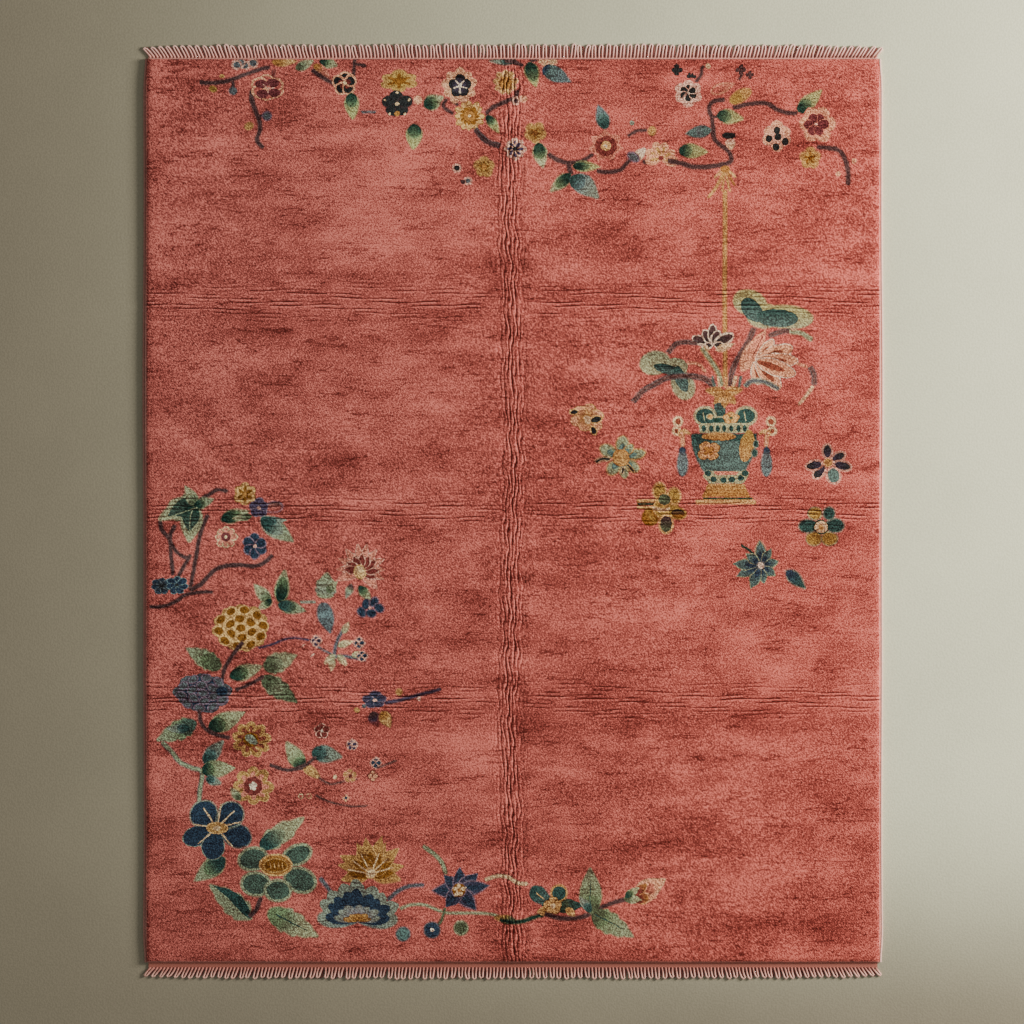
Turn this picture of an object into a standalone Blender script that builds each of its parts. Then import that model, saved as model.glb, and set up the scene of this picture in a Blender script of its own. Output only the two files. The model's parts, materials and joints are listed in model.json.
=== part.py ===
"""A hand-knotted wool rug of about 8 by 10 feet, lying flat on the floor.

Pieces, as a rug maker makes them:
  rug_pile                   the knotted pile on its foundation, with the ribs that old folds left in it
  side_cord_left, _right     the overcast side cords
  fringe_top, fringe_bottom  the flat-woven end webs, each with its looped warp fringe

Units are metres and +Z is up. The origin is on the floor under the middle of the rug, and +Y runs
along the warp to the top end, the one with the narrow web.
"""

import math

import bmesh
import bpy
import numpy as np

# Overall sizes
WIDTH = 2.440  # over both side cords
PILE_LENGTH = 2.994
THICKNESS = 0.016  # foundation and pile together
WEB_TOP = 0.006  # how far each end web reaches past the pile
WEB_BOTTOM = 0.017
WEB_THICKNESS = 0.0040
FRINGE_LENGTH = 0.036
CORD_DIAMETER = 0.0090
GAP = 0.0003  # between pieces that touch

TOTAL_LENGTH = PILE_LENGTH + 2 * GAP + WEB_TOP + WEB_BOTTOM + 2 * FRINGE_LENGTH
PILE_Y0 = -TOTAL_LENGTH / 2 + FRINGE_LENGTH + WEB_BOTTOM + GAP
PILE_Y1 = PILE_Y0 + PILE_LENGTH
PILE_HALF_WIDTH = WIDTH / 2 - CORD_DIAMETER - GAP

# Rim of the pile: (distance in from the edge, share of the thickness)
RIM = ((0.0, 0.62), (0.005, 0.88), (0.014, 1.0))

# Outline: the long edges wander in and out, and the four corners draw in
EDGE_WAVE = 0.0020
CORNER_DRAW = 0.0060
CORNER_REACH = 0.060
CORNER_LINES = (0.040, 0.090)  # grid lines that shape the corners, in from each end
WEB_INSET = 0.012  # the webs are this much narrower than the rug, at each side

# Fold marks. Each is a band of ribs, and the lengthwise one also stands up as a soft hump.
RIB_PITCH = 0.0155
RIBS_LONG = 7
RIBS_CROSS = 4
RIB_DEPTH_LONG = 0.0026
RIB_DEPTH_CROSS = 0.0014
HUMP_HEIGHT = 0.0030
HUMP_HALF_WIDTH = 0.045
CROSS_FOLDS_Y = (0.697, 0.006, -0.619)
COARSE_STEP = 0.150  # grid spacing away from the folds
UNEVEN = 0.0006  # how much the plain pile rises and falls

# Fringe
STRANDS = 150  # at each end
STRAND_SHARE = 0.50  # of the pitch
LEAN = math.radians(22)  # outward lean towards a corner
CORNER_LEAN = math.radians(43)  # lean of the last strand
CORNER_POWER = 10  # how suddenly the lean grows at the corner
LEAN_SCATTER = math.radians(3.0)

# Strand sections: (share of the length, height, share of the width)
STRAND_SECTIONS = ((0.55, 0.0038, 1.0), (1.0, 0.0026, 0.72))


def edge_offset(y):
    """How far the long edges stand in from the full width at y: two slow waves, more at the corners."""
    wave = EDGE_WAVE * (0.6 * np.sin(2.9 * y + 0.7) + 0.4 * np.sin(6.3 * y - 1.1) - 1.0)
    to_end = np.minimum(y - PILE_Y0, PILE_Y1 - y)
    return wave - CORNER_DRAW * np.exp(-((to_end / CORNER_REACH) ** 2))


def fold_line(y):
    """The x of the lengthwise fold at y."""
    return -0.004 + 0.007 * np.sin(3.7 * (y + 0.2)) + 0.003 * np.sin(11.0 * y)


def unevenness(x, y):
    """Slow rise and fall of plain pile."""
    return UNEVEN * (np.sin(5.1 * x + 1.3 * y) + np.sin(3.3 * y - 2.0 * x + 1.0))


def material(name, colour, roughness):
    """A Principled BSDF of one colour."""
    mat = bpy.data.materials.new(name)
    mat.use_nodes = True
    shader = mat.node_tree.nodes["Principled BSDF"]
    shader.inputs["Base Color"].default_value = (*colour, 1.0)
    shader.inputs["Roughness"].default_value = roughness
    shader.inputs["Metallic"].default_value = 0.0
    return mat


def new_object(name, data, mat, collection):
    obj = bpy.data.objects.new(name, data)
    obj.data.materials.append(mat)
    collection.objects.link(obj)
    return obj


def stations(start, end, insets, bands, rib_count):
    """Grid lines from start to end: at the insets from each, two to a rib in each band, and coarse ones."""
    half_pitch = RIB_PITCH / 2
    fine = [centre + k * half_pitch for centre in bands for k in range(-rib_count, rib_count + 1)]
    rim = [start + inset for inset in insets] + [end - inset for inset in insets]
    lines = sorted(rim + fine)
    filled = []
    for low, high in zip(lines, lines[1:]):
        count = max(1, math.ceil((high - low) / COARSE_STEP))
        filled += [low + (high - low) * k / count for k in range(count)]
    return np.array(filled + [lines[-1]])


def pile_rows():
    """The y of every grid line across the pile, which the side cords follow too."""
    insets = [inset for inset, _ in RIM] + list(CORNER_LINES)
    return stations(PILE_Y0, PILE_Y1, insets, CROSS_FOLDS_Y, RIBS_CROSS)


def rim_share(distance):
    """Share of the full thickness at a distance in from the pile's edge."""
    return np.interp(distance, [inset for inset, _ in RIM], [share for _, share in RIM])


def ribs(offset, count, depth):
    """Ridges and grooves at RIB_PITCH across a fold, fading out by its last rib."""
    reach = count * RIB_PITCH / 2
    fade = np.clip(1.0 - np.abs(offset) / reach, 0.0, 1.0) ** 0.6
    return depth * fade * 0.5 * (np.cos(2 * math.pi * offset / RIB_PITCH) - 1.0)


def pile_height(u, y):
    """Top of the pile: thickness, unevenness, and the hump and ribs of the folds. u is x off the fold."""
    top = THICKNESS + unevenness(u, y)
    top += HUMP_HEIGHT * np.exp(-((u / HUMP_HALF_WIDTH) ** 2))
    top += ribs(u, RIBS_LONG, RIB_DEPTH_LONG)
    for fold_y in CROSS_FOLDS_Y:
        top += ribs(y - fold_y, RIBS_CROSS, RIB_DEPTH_CROSS)
    side = rim_share(PILE_HALF_WIDTH - np.abs(u))
    end = rim_share(np.minimum(y - PILE_Y0, PILE_Y1 - y))
    return top * np.minimum(side, end)


def rug_pile(mat, collection):
    """A grid primitive laid on the stations, lifted to the pile's height, skirted and closed below."""
    insets = [inset for inset, _ in RIM]
    columns = stations(-PILE_HALF_WIDTH, PILE_HALF_WIDTH, insets, (0.0,), RIBS_LONG)
    rows = pile_rows()
    u, y = np.meshgrid(columns, rows)
    fold_reach = RIBS_LONG * RIB_PITCH
    follow = np.clip((PILE_HALF_WIDTH - np.abs(u)) / (PILE_HALF_WIDTH - fold_reach), 0.0, 1.0)
    x = u + follow * fold_line(y) + (u / PILE_HALF_WIDTH) * edge_offset(y)
    z = pile_height(u, y)

    bm = bmesh.new()
    bmesh.ops.create_grid(bm, x_segments=len(columns) - 1, y_segments=len(rows) - 1, size=1.0)
    bm.verts.ensure_lookup_table()
    order = sorted(bm.verts, key=lambda v: (round(v.co.y, 6), round(v.co.x, 6)))
    for vert, place in zip(order, np.stack([x, y, z], axis=-1).reshape(-1, 3)):
        vert.co = place

    border = [edge for edge in bm.edges if edge.is_boundary]
    skirt = bmesh.ops.extrude_edge_only(bm, edges=border)["geom"]
    for vert in (v for v in skirt if isinstance(v, bmesh.types.BMVert)):
        vert.co.z = 0.0
    floor_edges = [edge for edge in bm.edges if edge.is_boundary]
    bmesh.ops.contextual_create(bm, geom=floor_edges)
    bmesh.ops.recalc_face_normals(bm, faces=bm.faces)

    mesh = bpy.data.meshes.new("rug_pile")
    bm.to_mesh(mesh)
    bm.free()
    mesh.shade_smooth()
    mesh.set_sharp_from_angle(angle=math.radians(40))
    return new_object("rug_pile", mesh, mat, collection)


def side_cord(name, side, mat, collection):
    """An overcast cord along one long edge, lying on the floor. side is -1 for left and 1 for right."""
    curve = bpy.data.curves.new(name, "CURVE")
    curve.dimensions = "3D"
    curve.bevel_depth = CORD_DIAMETER / 2
    curve.bevel_resolution = 2
    curve.use_fill_caps = True
    rows = pile_rows()
    spline = curve.splines.new("POLY")
    spline.points.add(len(rows) - 1)
    centre_x = WIDTH / 2 - CORD_DIAMETER / 2
    for point, y in zip(spline.points, rows):
        point.co = (side * (centre_x + edge_offset(y)), y, CORD_DIAMETER / 2, 1.0)
    return new_object(name, curve, mat, collection)


def fringe(name, end, web, seed, mat, collection):
    """An end web with strands extruded from its outer side. end is 1 at the top and -1 at the bottom."""
    inner = PILE_Y1 + GAP if end > 0 else PILE_Y0 - GAP
    outer = inner + end * web
    web_half = WIDTH / 2 - WEB_INSET
    pitch = 2 * web_half / STRANDS
    strand_half = pitch * STRAND_SHARE / 2
    middles = -web_half + pitch * (np.arange(STRANDS) + 0.5)
    sides = np.stack([middles - strand_half, middles + strand_half], axis=-1).ravel()
    cuts = [-web_half, *sides, web_half]
    places = [(x, y, 0.0) for y in sorted((inner, outer)) for x in cuts]

    bm = bmesh.new()
    bmesh.ops.create_grid(bm, x_segments=len(cuts) - 1, y_segments=1, size=1.0)
    order = sorted(bm.verts, key=lambda v: (round(v.co.y, 6), round(v.co.x, 6)))
    for vert, place in zip(order, places):
        vert.co = place
    raised = bmesh.ops.extrude_face_region(bm, geom=bm.faces[:], use_keep_orig=True)["geom"]
    for vert in (v for v in raised if isinstance(v, bmesh.types.BMVert)):
        vert.co.z = WEB_THICKNESS
    bmesh.ops.recalc_face_normals(bm, faces=bm.faces)

    walls = [face for face in bm.faces if all(abs(v.co.y - outer) < GAP for v in face.verts)]
    ends = sorted(walls, key=middle_x)[1::2]
    leans = strand_leans(seed)
    for share, height, width in STRAND_SECTIONS:
        ends = sorted(bmesh.ops.extrude_discrete_faces(bm, faces=ends)["faces"], key=middle_x)
        for face, root_x, lean in zip(ends, middles, leans):
            reach = FRINGE_LENGTH * share
            own_x = middle_x(face)
            for vert in face.verts:
                side = math.copysign(strand_half * width, vert.co.x - own_x)
                z = height if vert.co.z > 0 else 0.0
                y = outer + end * reach * math.cos(lean)
                vert.co = (root_x + reach * math.sin(lean) + side, y, z)

    mesh = bpy.data.meshes.new(name)
    bm.to_mesh(mesh)
    bm.free()
    return new_object(name, mesh, mat, collection)


def middle_x(face):
    return face.calc_center_median().x


def strand_leans(seed):
    """Each strand's outward lean: in step with its place, suddenly more at a corner, a little scattered."""
    place = (np.arange(STRANDS) + 0.5) / STRANDS * 2.0 - 1.0
    corner = np.sign(place) * np.abs(place) ** CORNER_POWER
    scatter = np.random.default_rng(seed).uniform(-LEAN_SCATTER, LEAN_SCATTER, STRANDS)
    return LEAN * place + (CORNER_LEAN - LEAN) * corner + scatter * (1.0 - np.abs(corner))


def main():
    for obj in list(bpy.data.objects):
        bpy.data.objects.remove(obj)
    collection = bpy.data.collections.new("chinese_deco_rug")
    bpy.context.scene.collection.children.link(collection)

    wool = material("rose_wool", (0.42, 0.09, 0.07), 0.9)
    cord_wool = material("pale_rose_wool", (0.55, 0.20, 0.16), 0.9)
    cotton = material("pink_cotton", (0.62, 0.36, 0.29), 0.85)

    rug_pile(wool, collection)
    side_cord("side_cord_left", -1, cord_wool, collection)
    side_cord("side_cord_right", 1, cord_wool, collection)
    fringe("fringe_top", 1, WEB_TOP, 1, cotton, collection)
    fringe("fringe_bottom", -1, WEB_BOTTOM, 2, cotton, collection)


main()
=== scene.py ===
"""Dresses a hand-knotted Chinese rug of the 1920s manner, lying flat on a pale floor.

The rug is built as its maker would: a knotted pile with its pattern charted in dyed wool, an overcast
cord along each side, and at each end a woven web whose warp loops make the fringe. Lengths are metres,
+Z is up, and +Y runs along the warp. The pattern is placed and sized in squares of the weaver's chart, one
to a knot, counted from the chart's left and top. They match the photograph's pixels at 3.31 mm each.
"""

from __future__ import annotations

import json
import logging
import math
from collections.abc import Sequence
from dataclasses import dataclass, field
from enum import Enum

import bpy
import numpy as np
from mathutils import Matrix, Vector
from mathutils.geometry import delaunay_2d_cdt

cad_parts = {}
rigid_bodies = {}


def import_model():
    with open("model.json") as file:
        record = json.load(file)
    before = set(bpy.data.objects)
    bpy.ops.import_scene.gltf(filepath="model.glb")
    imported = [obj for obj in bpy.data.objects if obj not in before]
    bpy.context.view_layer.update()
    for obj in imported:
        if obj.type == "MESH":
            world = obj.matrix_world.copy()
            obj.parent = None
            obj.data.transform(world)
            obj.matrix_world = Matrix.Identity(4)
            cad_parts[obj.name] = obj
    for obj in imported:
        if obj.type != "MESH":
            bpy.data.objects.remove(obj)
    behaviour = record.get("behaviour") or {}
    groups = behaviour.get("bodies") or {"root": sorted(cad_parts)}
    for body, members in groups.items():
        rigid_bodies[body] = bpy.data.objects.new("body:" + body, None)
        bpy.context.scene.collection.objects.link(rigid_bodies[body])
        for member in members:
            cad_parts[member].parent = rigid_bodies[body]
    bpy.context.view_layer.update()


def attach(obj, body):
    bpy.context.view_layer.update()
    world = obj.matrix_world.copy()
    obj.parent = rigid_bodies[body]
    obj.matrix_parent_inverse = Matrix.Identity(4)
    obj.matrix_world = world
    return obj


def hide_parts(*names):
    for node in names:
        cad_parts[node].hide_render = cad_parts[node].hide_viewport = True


Array = np.ndarray
Socket = bpy.types.NodeSocket
Piece = bpy.types.Object
Material = bpy.types.Material
Tree = bpy.types.NodeTree
Rgba = tuple[float, float, float, float]
Square = tuple[float, float]  # a place on the chart: squares from its left, and from its top

LOG = logging.getLogger("rug")

KNOT = 0.00331  # one square of the chart
CHART_MIDDLE = (513.0, 512.0)  # the square over the middle of the rug

# Sizes that the fixed frame was built to
WIDTH = 2.440
THICKNESS = 0.016
PILE_Y0 = -1.4915
PILE_Y1 = 1.5025
CORD_DIAMETER = 0.0090
GAP = 0.0003
WEB_TOP = 0.006
WEB_BOTTOM = 0.017
WEB_THICKNESS = 0.0040
WEB_INSET = 0.012
FRINGE_LENGTH = 0.036
PILE_HALF_WIDTH = WIDTH / 2 - CORD_DIAMETER - GAP


# ---------------------------------------------------------------- colour


def linear(shade: tuple[int, int, int]) -> Array:
    """Turns a display colour of 0 to 255 into linear light.

    Args:
        shade: Red, green and blue.

    Returns:
        Three linear values, 0 to 1.
    """
    value = np.asarray(shade, dtype=float) / 255.0
    return np.where(value <= 0.04045, value / 12.92, ((value + 0.055) / 1.055) ** 2.4)


class Wool(Enum):
    """The dyer's shades, as display colours."""

    ROSE = (175, 88, 79)
    WINE = (98, 46, 48)
    MAROON = (112, 50, 46)
    RUST = (128, 66, 50)
    PEACH = (208, 146, 112)
    SALMON = (196, 118, 98)
    BLUSH = (206, 152, 132)
    CREAM = (206, 172, 130)
    IVORY = (212, 188, 164)
    GOLD = (176, 132, 78)
    HONEY = (200, 154, 98)
    AMBER = (152, 102, 52)
    BRONZE = (122, 76, 30)
    MUSTARD = (150, 116, 58)
    BARK = (74, 51, 51)
    BARK_LIGHT = (98, 68, 64)
    INK = (38, 38, 38)
    NAVY = (42, 53, 68)
    PLUM = (66, 54, 72)
    LILAC = (112, 92, 104)
    SLATE = (86, 88, 90)
    SKY = (98, 113, 114)
    PEACOCK = (44, 67, 63)
    TEAL = (80, 99, 94)
    MIST = (124, 128, 112)
    PINE = (28, 50, 42)
    FERN = (68, 82, 71)
    MOSS = (78, 84, 62)
    LEAF = (104, 118, 84)
    SAGE = (134, 138, 108)
    LIME = (162, 156, 102)
    STRAW = (156, 152, 116)


(ROSE, WINE, MAROON, RUST, PEACH, SALMON, BLUSH, CREAM, IVORY, GOLD, HONEY, AMBER, BRONZE, MUSTARD, BARK,
 BARK_LIGHT, INK, NAVY, PLUM, LILAC, SLATE, SKY, PEACOCK, TEAL, MIST, PINE, FERN, MOSS, LEAF, SAGE, LIME,
 STRAW) = Wool


@dataclass(frozen=True)
class DyeBath:
    """How strongly the dyes take: display colours become the wool's own under the studio light."""

    gain: float = 1.0
    saturation: float = 1.0

    def take(self, shade: Wool) -> Array:
        """The wool's linear colour in this bath."""
        colour = linear(shade.value)
        grey = colour @ np.array([0.2126, 0.7152, 0.0722])
        return np.clip(grey + (colour - grey) * self.saturation, 0.002, 1.0) * self.gain


# ---------------------------------------------------------------- outlines, in squares from the middle


def place(square: Square) -> Array:
    """A place on the chart, in squares from the rug's middle with y up."""
    return np.array([square[0] - CHART_MIDDLE[0], CHART_MIDDLE[1] - square[1]])


def turned(points: Array, degrees: float) -> Array:
    """Turns points about the origin, counter-clockwise."""
    angle = math.radians(degrees)
    cos, sin = math.cos(angle), math.sin(angle)
    return points @ np.array([[cos, sin], [-sin, cos]])


def oval(centre: Array, across: float, along: float, turn: float = 0.0) -> Array:
    """An ellipse: (across cos t, along sin t), turned and moved.

    Args:
        centre: Its middle.
        across: Half its width.
        along: Half its height.
        turn: Degrees counter-clockwise.

    Returns:
        The outline, shape (36, 2).
    """
    t = np.linspace(0.0, 2.0 * math.pi, 36, endpoint=False)
    return centre + turned(np.stack([across * np.cos(t), along * np.sin(t)], axis=-1), turn)


class Tip(Enum):
    """How a petal or leaf swells: (place of its widest point, roundness of its ends)."""

    ROUND = (1.45, 0.52)
    FULL = (1.0, 0.5)
    POINTED = (0.72, 1.0)
    SPEAR = (1.15, 1.35)


def blade(base: Array, aim: float, length: float, width: float, tip: Tip, bend: float = 0.0,
          teeth: int = 0) -> Array:
    """A petal or leaf outline, its half width being sin(pi s^a)^b along its length s.

    Args:
        base: Where it starts.
        aim: Degrees that it points to.
        length: Base to tip.
        width: Across its widest point.
        tip: Its swell, a and b.
        bend: Sideways bow of its middle, as a share of the length.
        teeth: Notches along each side.

    Returns:
        The outline, shape (54, 2).
    """
    a, b = tip.value
    s = (1.0 - np.cos(np.linspace(0.0, math.pi, 28))) / 2.0
    half = width / 2.0 * np.sin(math.pi * np.clip(s, 0.0, 1.0) ** a).clip(0.0) ** b
    if teeth:
        half = half * (1.0 + 0.34 * ((s * teeth) % 1.0 - 0.5))
    axis = bend * length * np.sin(math.pi * s)
    left = np.stack([s * length, axis + half], axis=-1)
    right = np.stack([s * length, axis - half], axis=-1)[-2:0:-1]
    return base + turned(np.concatenate([left, right]), aim)


def resampled(points: Array, step: float, closed: bool) -> Array:
    """Points spaced evenly along a line.

    Args:
        points: The line, shape (n, 2).
        step: Wanted distance between samples.
        closed: Whether the last point joins the first.

    Returns:
        The samples, without a repeated last point when closed.
    """
    line = np.concatenate([points, points[:1]]) if closed else points
    length = np.concatenate([[0.0], np.cumsum(np.linalg.norm(np.diff(line, axis=0), axis=1))])
    count = max(6 if closed else 2, int(round(length[-1] / step)))
    at = np.linspace(0.0, length[-1], count, endpoint=not closed)
    return np.stack([np.interp(at, length, line[:, k]) for k in range(2)], axis=-1)


def smooth_path(points: Array) -> Array:
    """A Catmull-Rom curve through points, sampled evenly, a square apart.

    Args:
        points: The places it passes, shape (n, 2).

    Returns:
        The samples, shape (m, 2).
    """
    padded = np.concatenate([[2 * points[0] - points[1]], points, [2 * points[-1] - points[-2]]])
    t = np.linspace(0.0, 1.0, 12, endpoint=False)[None, :, None]
    p0, p1, p2, p3 = (padded[k : len(padded) - 3 + k, None, :] for k in range(4))
    curve = 0.5 * (2 * p1 + (p2 - p0) * t + (2 * p0 - 5 * p1 + 4 * p2 - p3) * t**2
                   + (3 * p1 - p0 - 3 * p2 + p3) * t**3)
    return resampled(np.concatenate([curve.reshape(-1, 2), points[-1:]]), 1.0, closed=False)


def ribbon(path: Array, start: float, end: float) -> Array:
    """The outline of a strip along a path, its width running from start to end.

    Args:
        path: Its middle line, shape (n, 2).
        start: Width at the first point.
        end: Width at the last.

    Returns:
        The outline, shape (2n, 2).
    """
    along = np.gradient(path, axis=0)
    along /= np.linalg.norm(along, axis=1, keepdims=True) + 1e-12
    side = np.stack([-along[:, 1], along[:, 0]], axis=-1)
    half = np.linspace(start, end, len(path))[:, None] / 2.0
    return np.concatenate([path + side * half, (path - side * half)[::-1]])


# ---------------------------------------------------------------- motifs


@dataclass(frozen=True)
class Patch:
    """One area of knots: an outline, and a dye that may turn into another across it."""

    outline: Array
    near: Wool
    far: Wool | None = None
    origin: Array = field(default_factory=lambda: np.zeros(2))
    slope: Array = field(default_factory=lambda: np.zeros(2))  # share of the change for each square
    radial: float = 0.0  # the same, outwards from the origin


@dataclass(frozen=True)
class Tones:
    """A leaf's shades, from its heart to its tip."""

    heart: Wool
    body: Wool
    tip: Wool


GREEN = Tones(PINE, LEAF, STRAW)
DUSTY = Tones(MOSS, SAGE, STRAW)
FRESH = Tones(PINE, LEAF, LIME)
COOL = Tones(PEACOCK, TEAL, MIST)
BLUE = Tones(NAVY, TEAL, SKY)
DUSK = Tones(BARK, SAGE, MIST)
GOLDEN = Tones(AMBER, GOLD, HONEY)
OCHRE = Tones(MUSTARD, MUSTARD, GOLD)
PALE = Tones(BLUSH, CREAM, IVORY)


@dataclass(frozen=True)
class Leaf:
    """A leaf: a dark heart at its stalk that fades into a lighter body, and a pale tip."""

    base: Square
    end: Square
    width: float
    tones: Tones = GREEN
    heart: float = 0.42  # share of the length
    teeth: int = 0
    bend: float = 0.0
    tip: Tip = Tip.POINTED
    rim: Wool | None = None

    def patches(self) -> list[Patch]:
        """Charts the leaf.

        Returns:
            Its patches, the lowest first.
        """
        base = place(self.base)
        reach = place(self.end) - base
        length = float(np.hypot(*reach))
        aim = math.degrees(math.atan2(reach[1], reach[0]))
        slope = reach / length**2
        found = []
        if self.rim:
            outer = blade(base - 1.0 * reach / length, aim, length + 2.4, self.width + 2.4, self.tip,
                          self.bend, self.teeth)
            found.append(Patch(outer, self.rim))
        whole = blade(base, aim, length, self.width, self.tip, self.bend, self.teeth)
        found.append(Patch(whole, self.tones.body, self.tones.tip, base, slope * 1.1))
        if self.heart > 0.0:
            inner = blade(base, aim, length * self.heart * 1.3, self.width * 0.84, Tip.FULL,
                          self.bend * self.heart)
            found.append(Patch(inner, self.tones.heart, self.tones.body, base + reach * self.heart * 0.45,
                               slope / self.heart))
        return found


@dataclass(frozen=True)
class Stem:
    """A stalk or twig: a dark core in a paler edge, both uneven as a line of single knots is."""

    through: tuple[Square, ...]
    start: float = 3.0
    end: float = 2.8
    core: Wool = BARK
    edge: Wool | None = BARK_LIGHT

    def patches(self) -> list[Patch]:
        """Charts the stalk.

        Returns:
            Its patches, the lowest first.
        """
        path = smooth_path(np.array([place(square) for square in self.through]))
        found = []
        if self.edge:
            found.append(Patch(ribbon(path, self.start + 0.6, self.end + 0.6), self.edge))
        found.append(Patch(ribbon(path, self.start * 0.72, self.end * 0.72), self.core))
        return found


@dataclass(frozen=True)
class Bloom:
    """A flower seen from above or, with a sweep under 360, from the side as a fan of petals."""

    at: Square
    radius: float
    petals: int = 5
    body: Wool = NAVY
    outer: Wool | None = None  # the body's shade at the petals' tips
    rim: Wool | None = BLUSH
    rim_width: float = 0.8
    tip: Tip = Tip.ROUND
    fill: float = 1.0  # petal width, as a share of the room it has
    turn: float = 90.0  # where the first petal points, or the fan's middle
    sweep: float = 360.0
    each: tuple[tuple[float, float, float], ...] = ()  # uneven petals: aim, length, width
    inner: float = 0.0  # share of the radius at which petals start
    squash: float = 1.0
    tilt: float = 0.0
    mark: Wool | None = None  # an inner petal on each
    mark_share: float = 0.6
    mark_fill: float = 0.55
    hub: Wool | None = None
    hub_share: float = 0.2
    hub_rim: Wool | None = None
    ray: Wool | None = None  # thin lines out of the hub
    rays: tuple[float, ...] = ()  # where they point; none is one between each pair of petals
    ray_share: float = 0.95

    def directions(self) -> list[float]:
        """Where each petal points, in degrees."""
        if self.each:
            return [aim for aim, _, _ in self.each]
        if self.sweep >= 360.0:
            return [self.turn + 360.0 * k / self.petals for k in range(self.petals)]
        step = self.sweep / self.petals
        return [self.turn - self.sweep / 2.0 + step * (k + 0.5) for k in range(self.petals)]

    def petal(self, aim: float, long: float, wide: float) -> list[Patch]:
        """Charts one petal: its rim, its body and its mark.

        Args:
            aim: Where it points.
            long: Its reach from the flower's middle.
            wide: Its width.

        Returns:
            The patches, the lowest first.
        """
        layers = [(self.body, self.outer, 1.0, 1.0, 0.0)]
        if self.rim:
            layers.insert(0, (self.rim, None, 1.0, 1.0, self.rim_width))
        if self.mark:
            layers.append((self.mark, None, self.mark_share, self.mark_fill, 0.0))
        start = self.inner * long
        found = []
        for dye, far, reach, fill, grow in layers:
            base = turned(np.array([start - grow, 0.0]), aim)
            outline = blade(base, aim, long * reach - start + 2.0 * grow, wide * fill + 2.0 * grow, self.tip)
            found.append(Patch(self.placed(outline), dye, far, place(self.at), radial=1.0 / long))
        return found

    def placed(self, outline: Array) -> Array:
        """Squashes and tilts an outline, and moves it to the flower's place."""
        return place(self.at) + turned(outline * np.array([1.0, self.squash]), self.tilt)

    def patches(self) -> list[Patch]:
        """Charts the flower, petal by petal, each a little uneven.

        Returns:
            Its patches, the lowest first.
        """
        rng = np.random.default_rng(int(self.at[0] * 100 + self.at[1]))
        half_turn = math.radians(min(self.sweep, 360.0) / self.petals / 2.0)
        room = 1.5 * self.radius * math.sin(half_turn) * self.fill
        sizes = self.each or [(aim, self.radius, min(room, self.radius * 0.95)) for aim in self.directions()]
        found = []
        for aim, long, wide in sizes:
            found += self.petal(aim + rng.normal(0.0, 2.5), long * rng.uniform(0.92, 1.06), wide)
        if self.ray:
            half = 180.0 / self.petals
            for aim in self.rays or [aim + half for aim in self.directions()]:
                line = turned(np.linspace([0.0, 0.0], [self.radius * self.ray_share, 0.0], 4), aim)
                found.append(Patch(self.placed(ribbon(line, 1.8, 1.2)), self.ray))
        if self.hub:
            size = self.radius * self.hub_share
            if self.hub_rim:
                edge = size + 1.3
                found.append(Patch(self.placed(oval(np.zeros(2), edge, edge)), self.hub_rim))
            found.append(Patch(self.placed(oval(np.zeros(2), size, size)), self.hub))
        return found


@dataclass(frozen=True)
class Dot:
    """A berry, bud or cell: an oval, with an edge of another shade if it has one."""

    at: Square
    across: float
    dye: Wool
    along: float = 0.0  # half height; 0 is round
    turn: float = 0.0
    rim: Wool | None = None
    rim_width: float = 1.2
    far: Wool | None = None  # shade at its lower end

    def patches(self) -> list[Patch]:
        """Charts the dot.

        Returns:
            Its patches, the lowest first.
        """
        centre = place(self.at)
        along = self.along or self.across
        found = []
        if self.rim:
            edge = self.rim_width
            found.append(Patch(oval(centre, self.across + edge, along + edge, self.turn), self.rim))
        top = centre + np.array([0.0, along])
        slope = np.array([0.0, -0.5 / along])
        found.append(Patch(oval(centre, self.across, along, self.turn), self.dye, self.far, top, slope))
        return found


@dataclass(frozen=True)
class PotBody:
    """A pot's body, alike on both sides of its middle, with straight edges."""

    x: float  # column of its middle
    stations: tuple[Square, ...]  # row and half width, from the top down
    dye: Wool
    far: Wool | None = None  # shade at its foot

    def patches(self) -> list[Patch]:
        """Charts the body.

        Returns:
            Its one patch.
        """
        right = [place((self.x + half, row)) for row, half in self.stations]
        left = [place((self.x - half, row)) for row, half in reversed(self.stations)]
        outline = np.array(right + left)
        top = outline[:, 1].max()
        slope = np.array([0.0, -1.0 / (top - outline[:, 1].min())])
        return [Patch(outline, self.dye, self.far, np.array([0.0, top]), slope)]


Motif = Leaf | Stem | Bloom | Dot | PotBody


def full_flower(at: Square, size: Square, petals: int, body: Wool, outer: Wool, cell: Wool,
                line: Wool) -> list[Motif]:
    """A full flower of many small petals: a blunt ring of them, and inside it rings of cells in light lines.

    Args:
        at: Its middle.
        size: Half its width and half its height.
        petals: How many stand round its edge.
        body: Its shade at the middle.
        outer: Its shade at the edge.
        cell: The cells' shade.
        line: The shade between them.

    Returns:
        The flower and its cells.
    """
    wide, high = size
    ring = Bloom(at, wide, petals, body, outer, rim=None, squash=high / wide, fill=1.4, hub=body,
                 hub_share=0.82)
    found = [ring]
    for share, count in ((0.76, 10), (0.4, 6), (0.0, 1)):
        for k in range(count):
            angle = 2.0 * math.pi * (k + share) / count
            middle = (at[0] + share * wide * math.cos(angle), at[1] + share * high * math.sin(angle))
            lean = 40.0 * math.sin(2.0 * angle)
            found.append(Dot(middle, 0.165 * wide, cell, 0.155 * high, lean, line, 1.3))
    return found


# ---------------------------------------------------------------- the pattern chart


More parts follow.
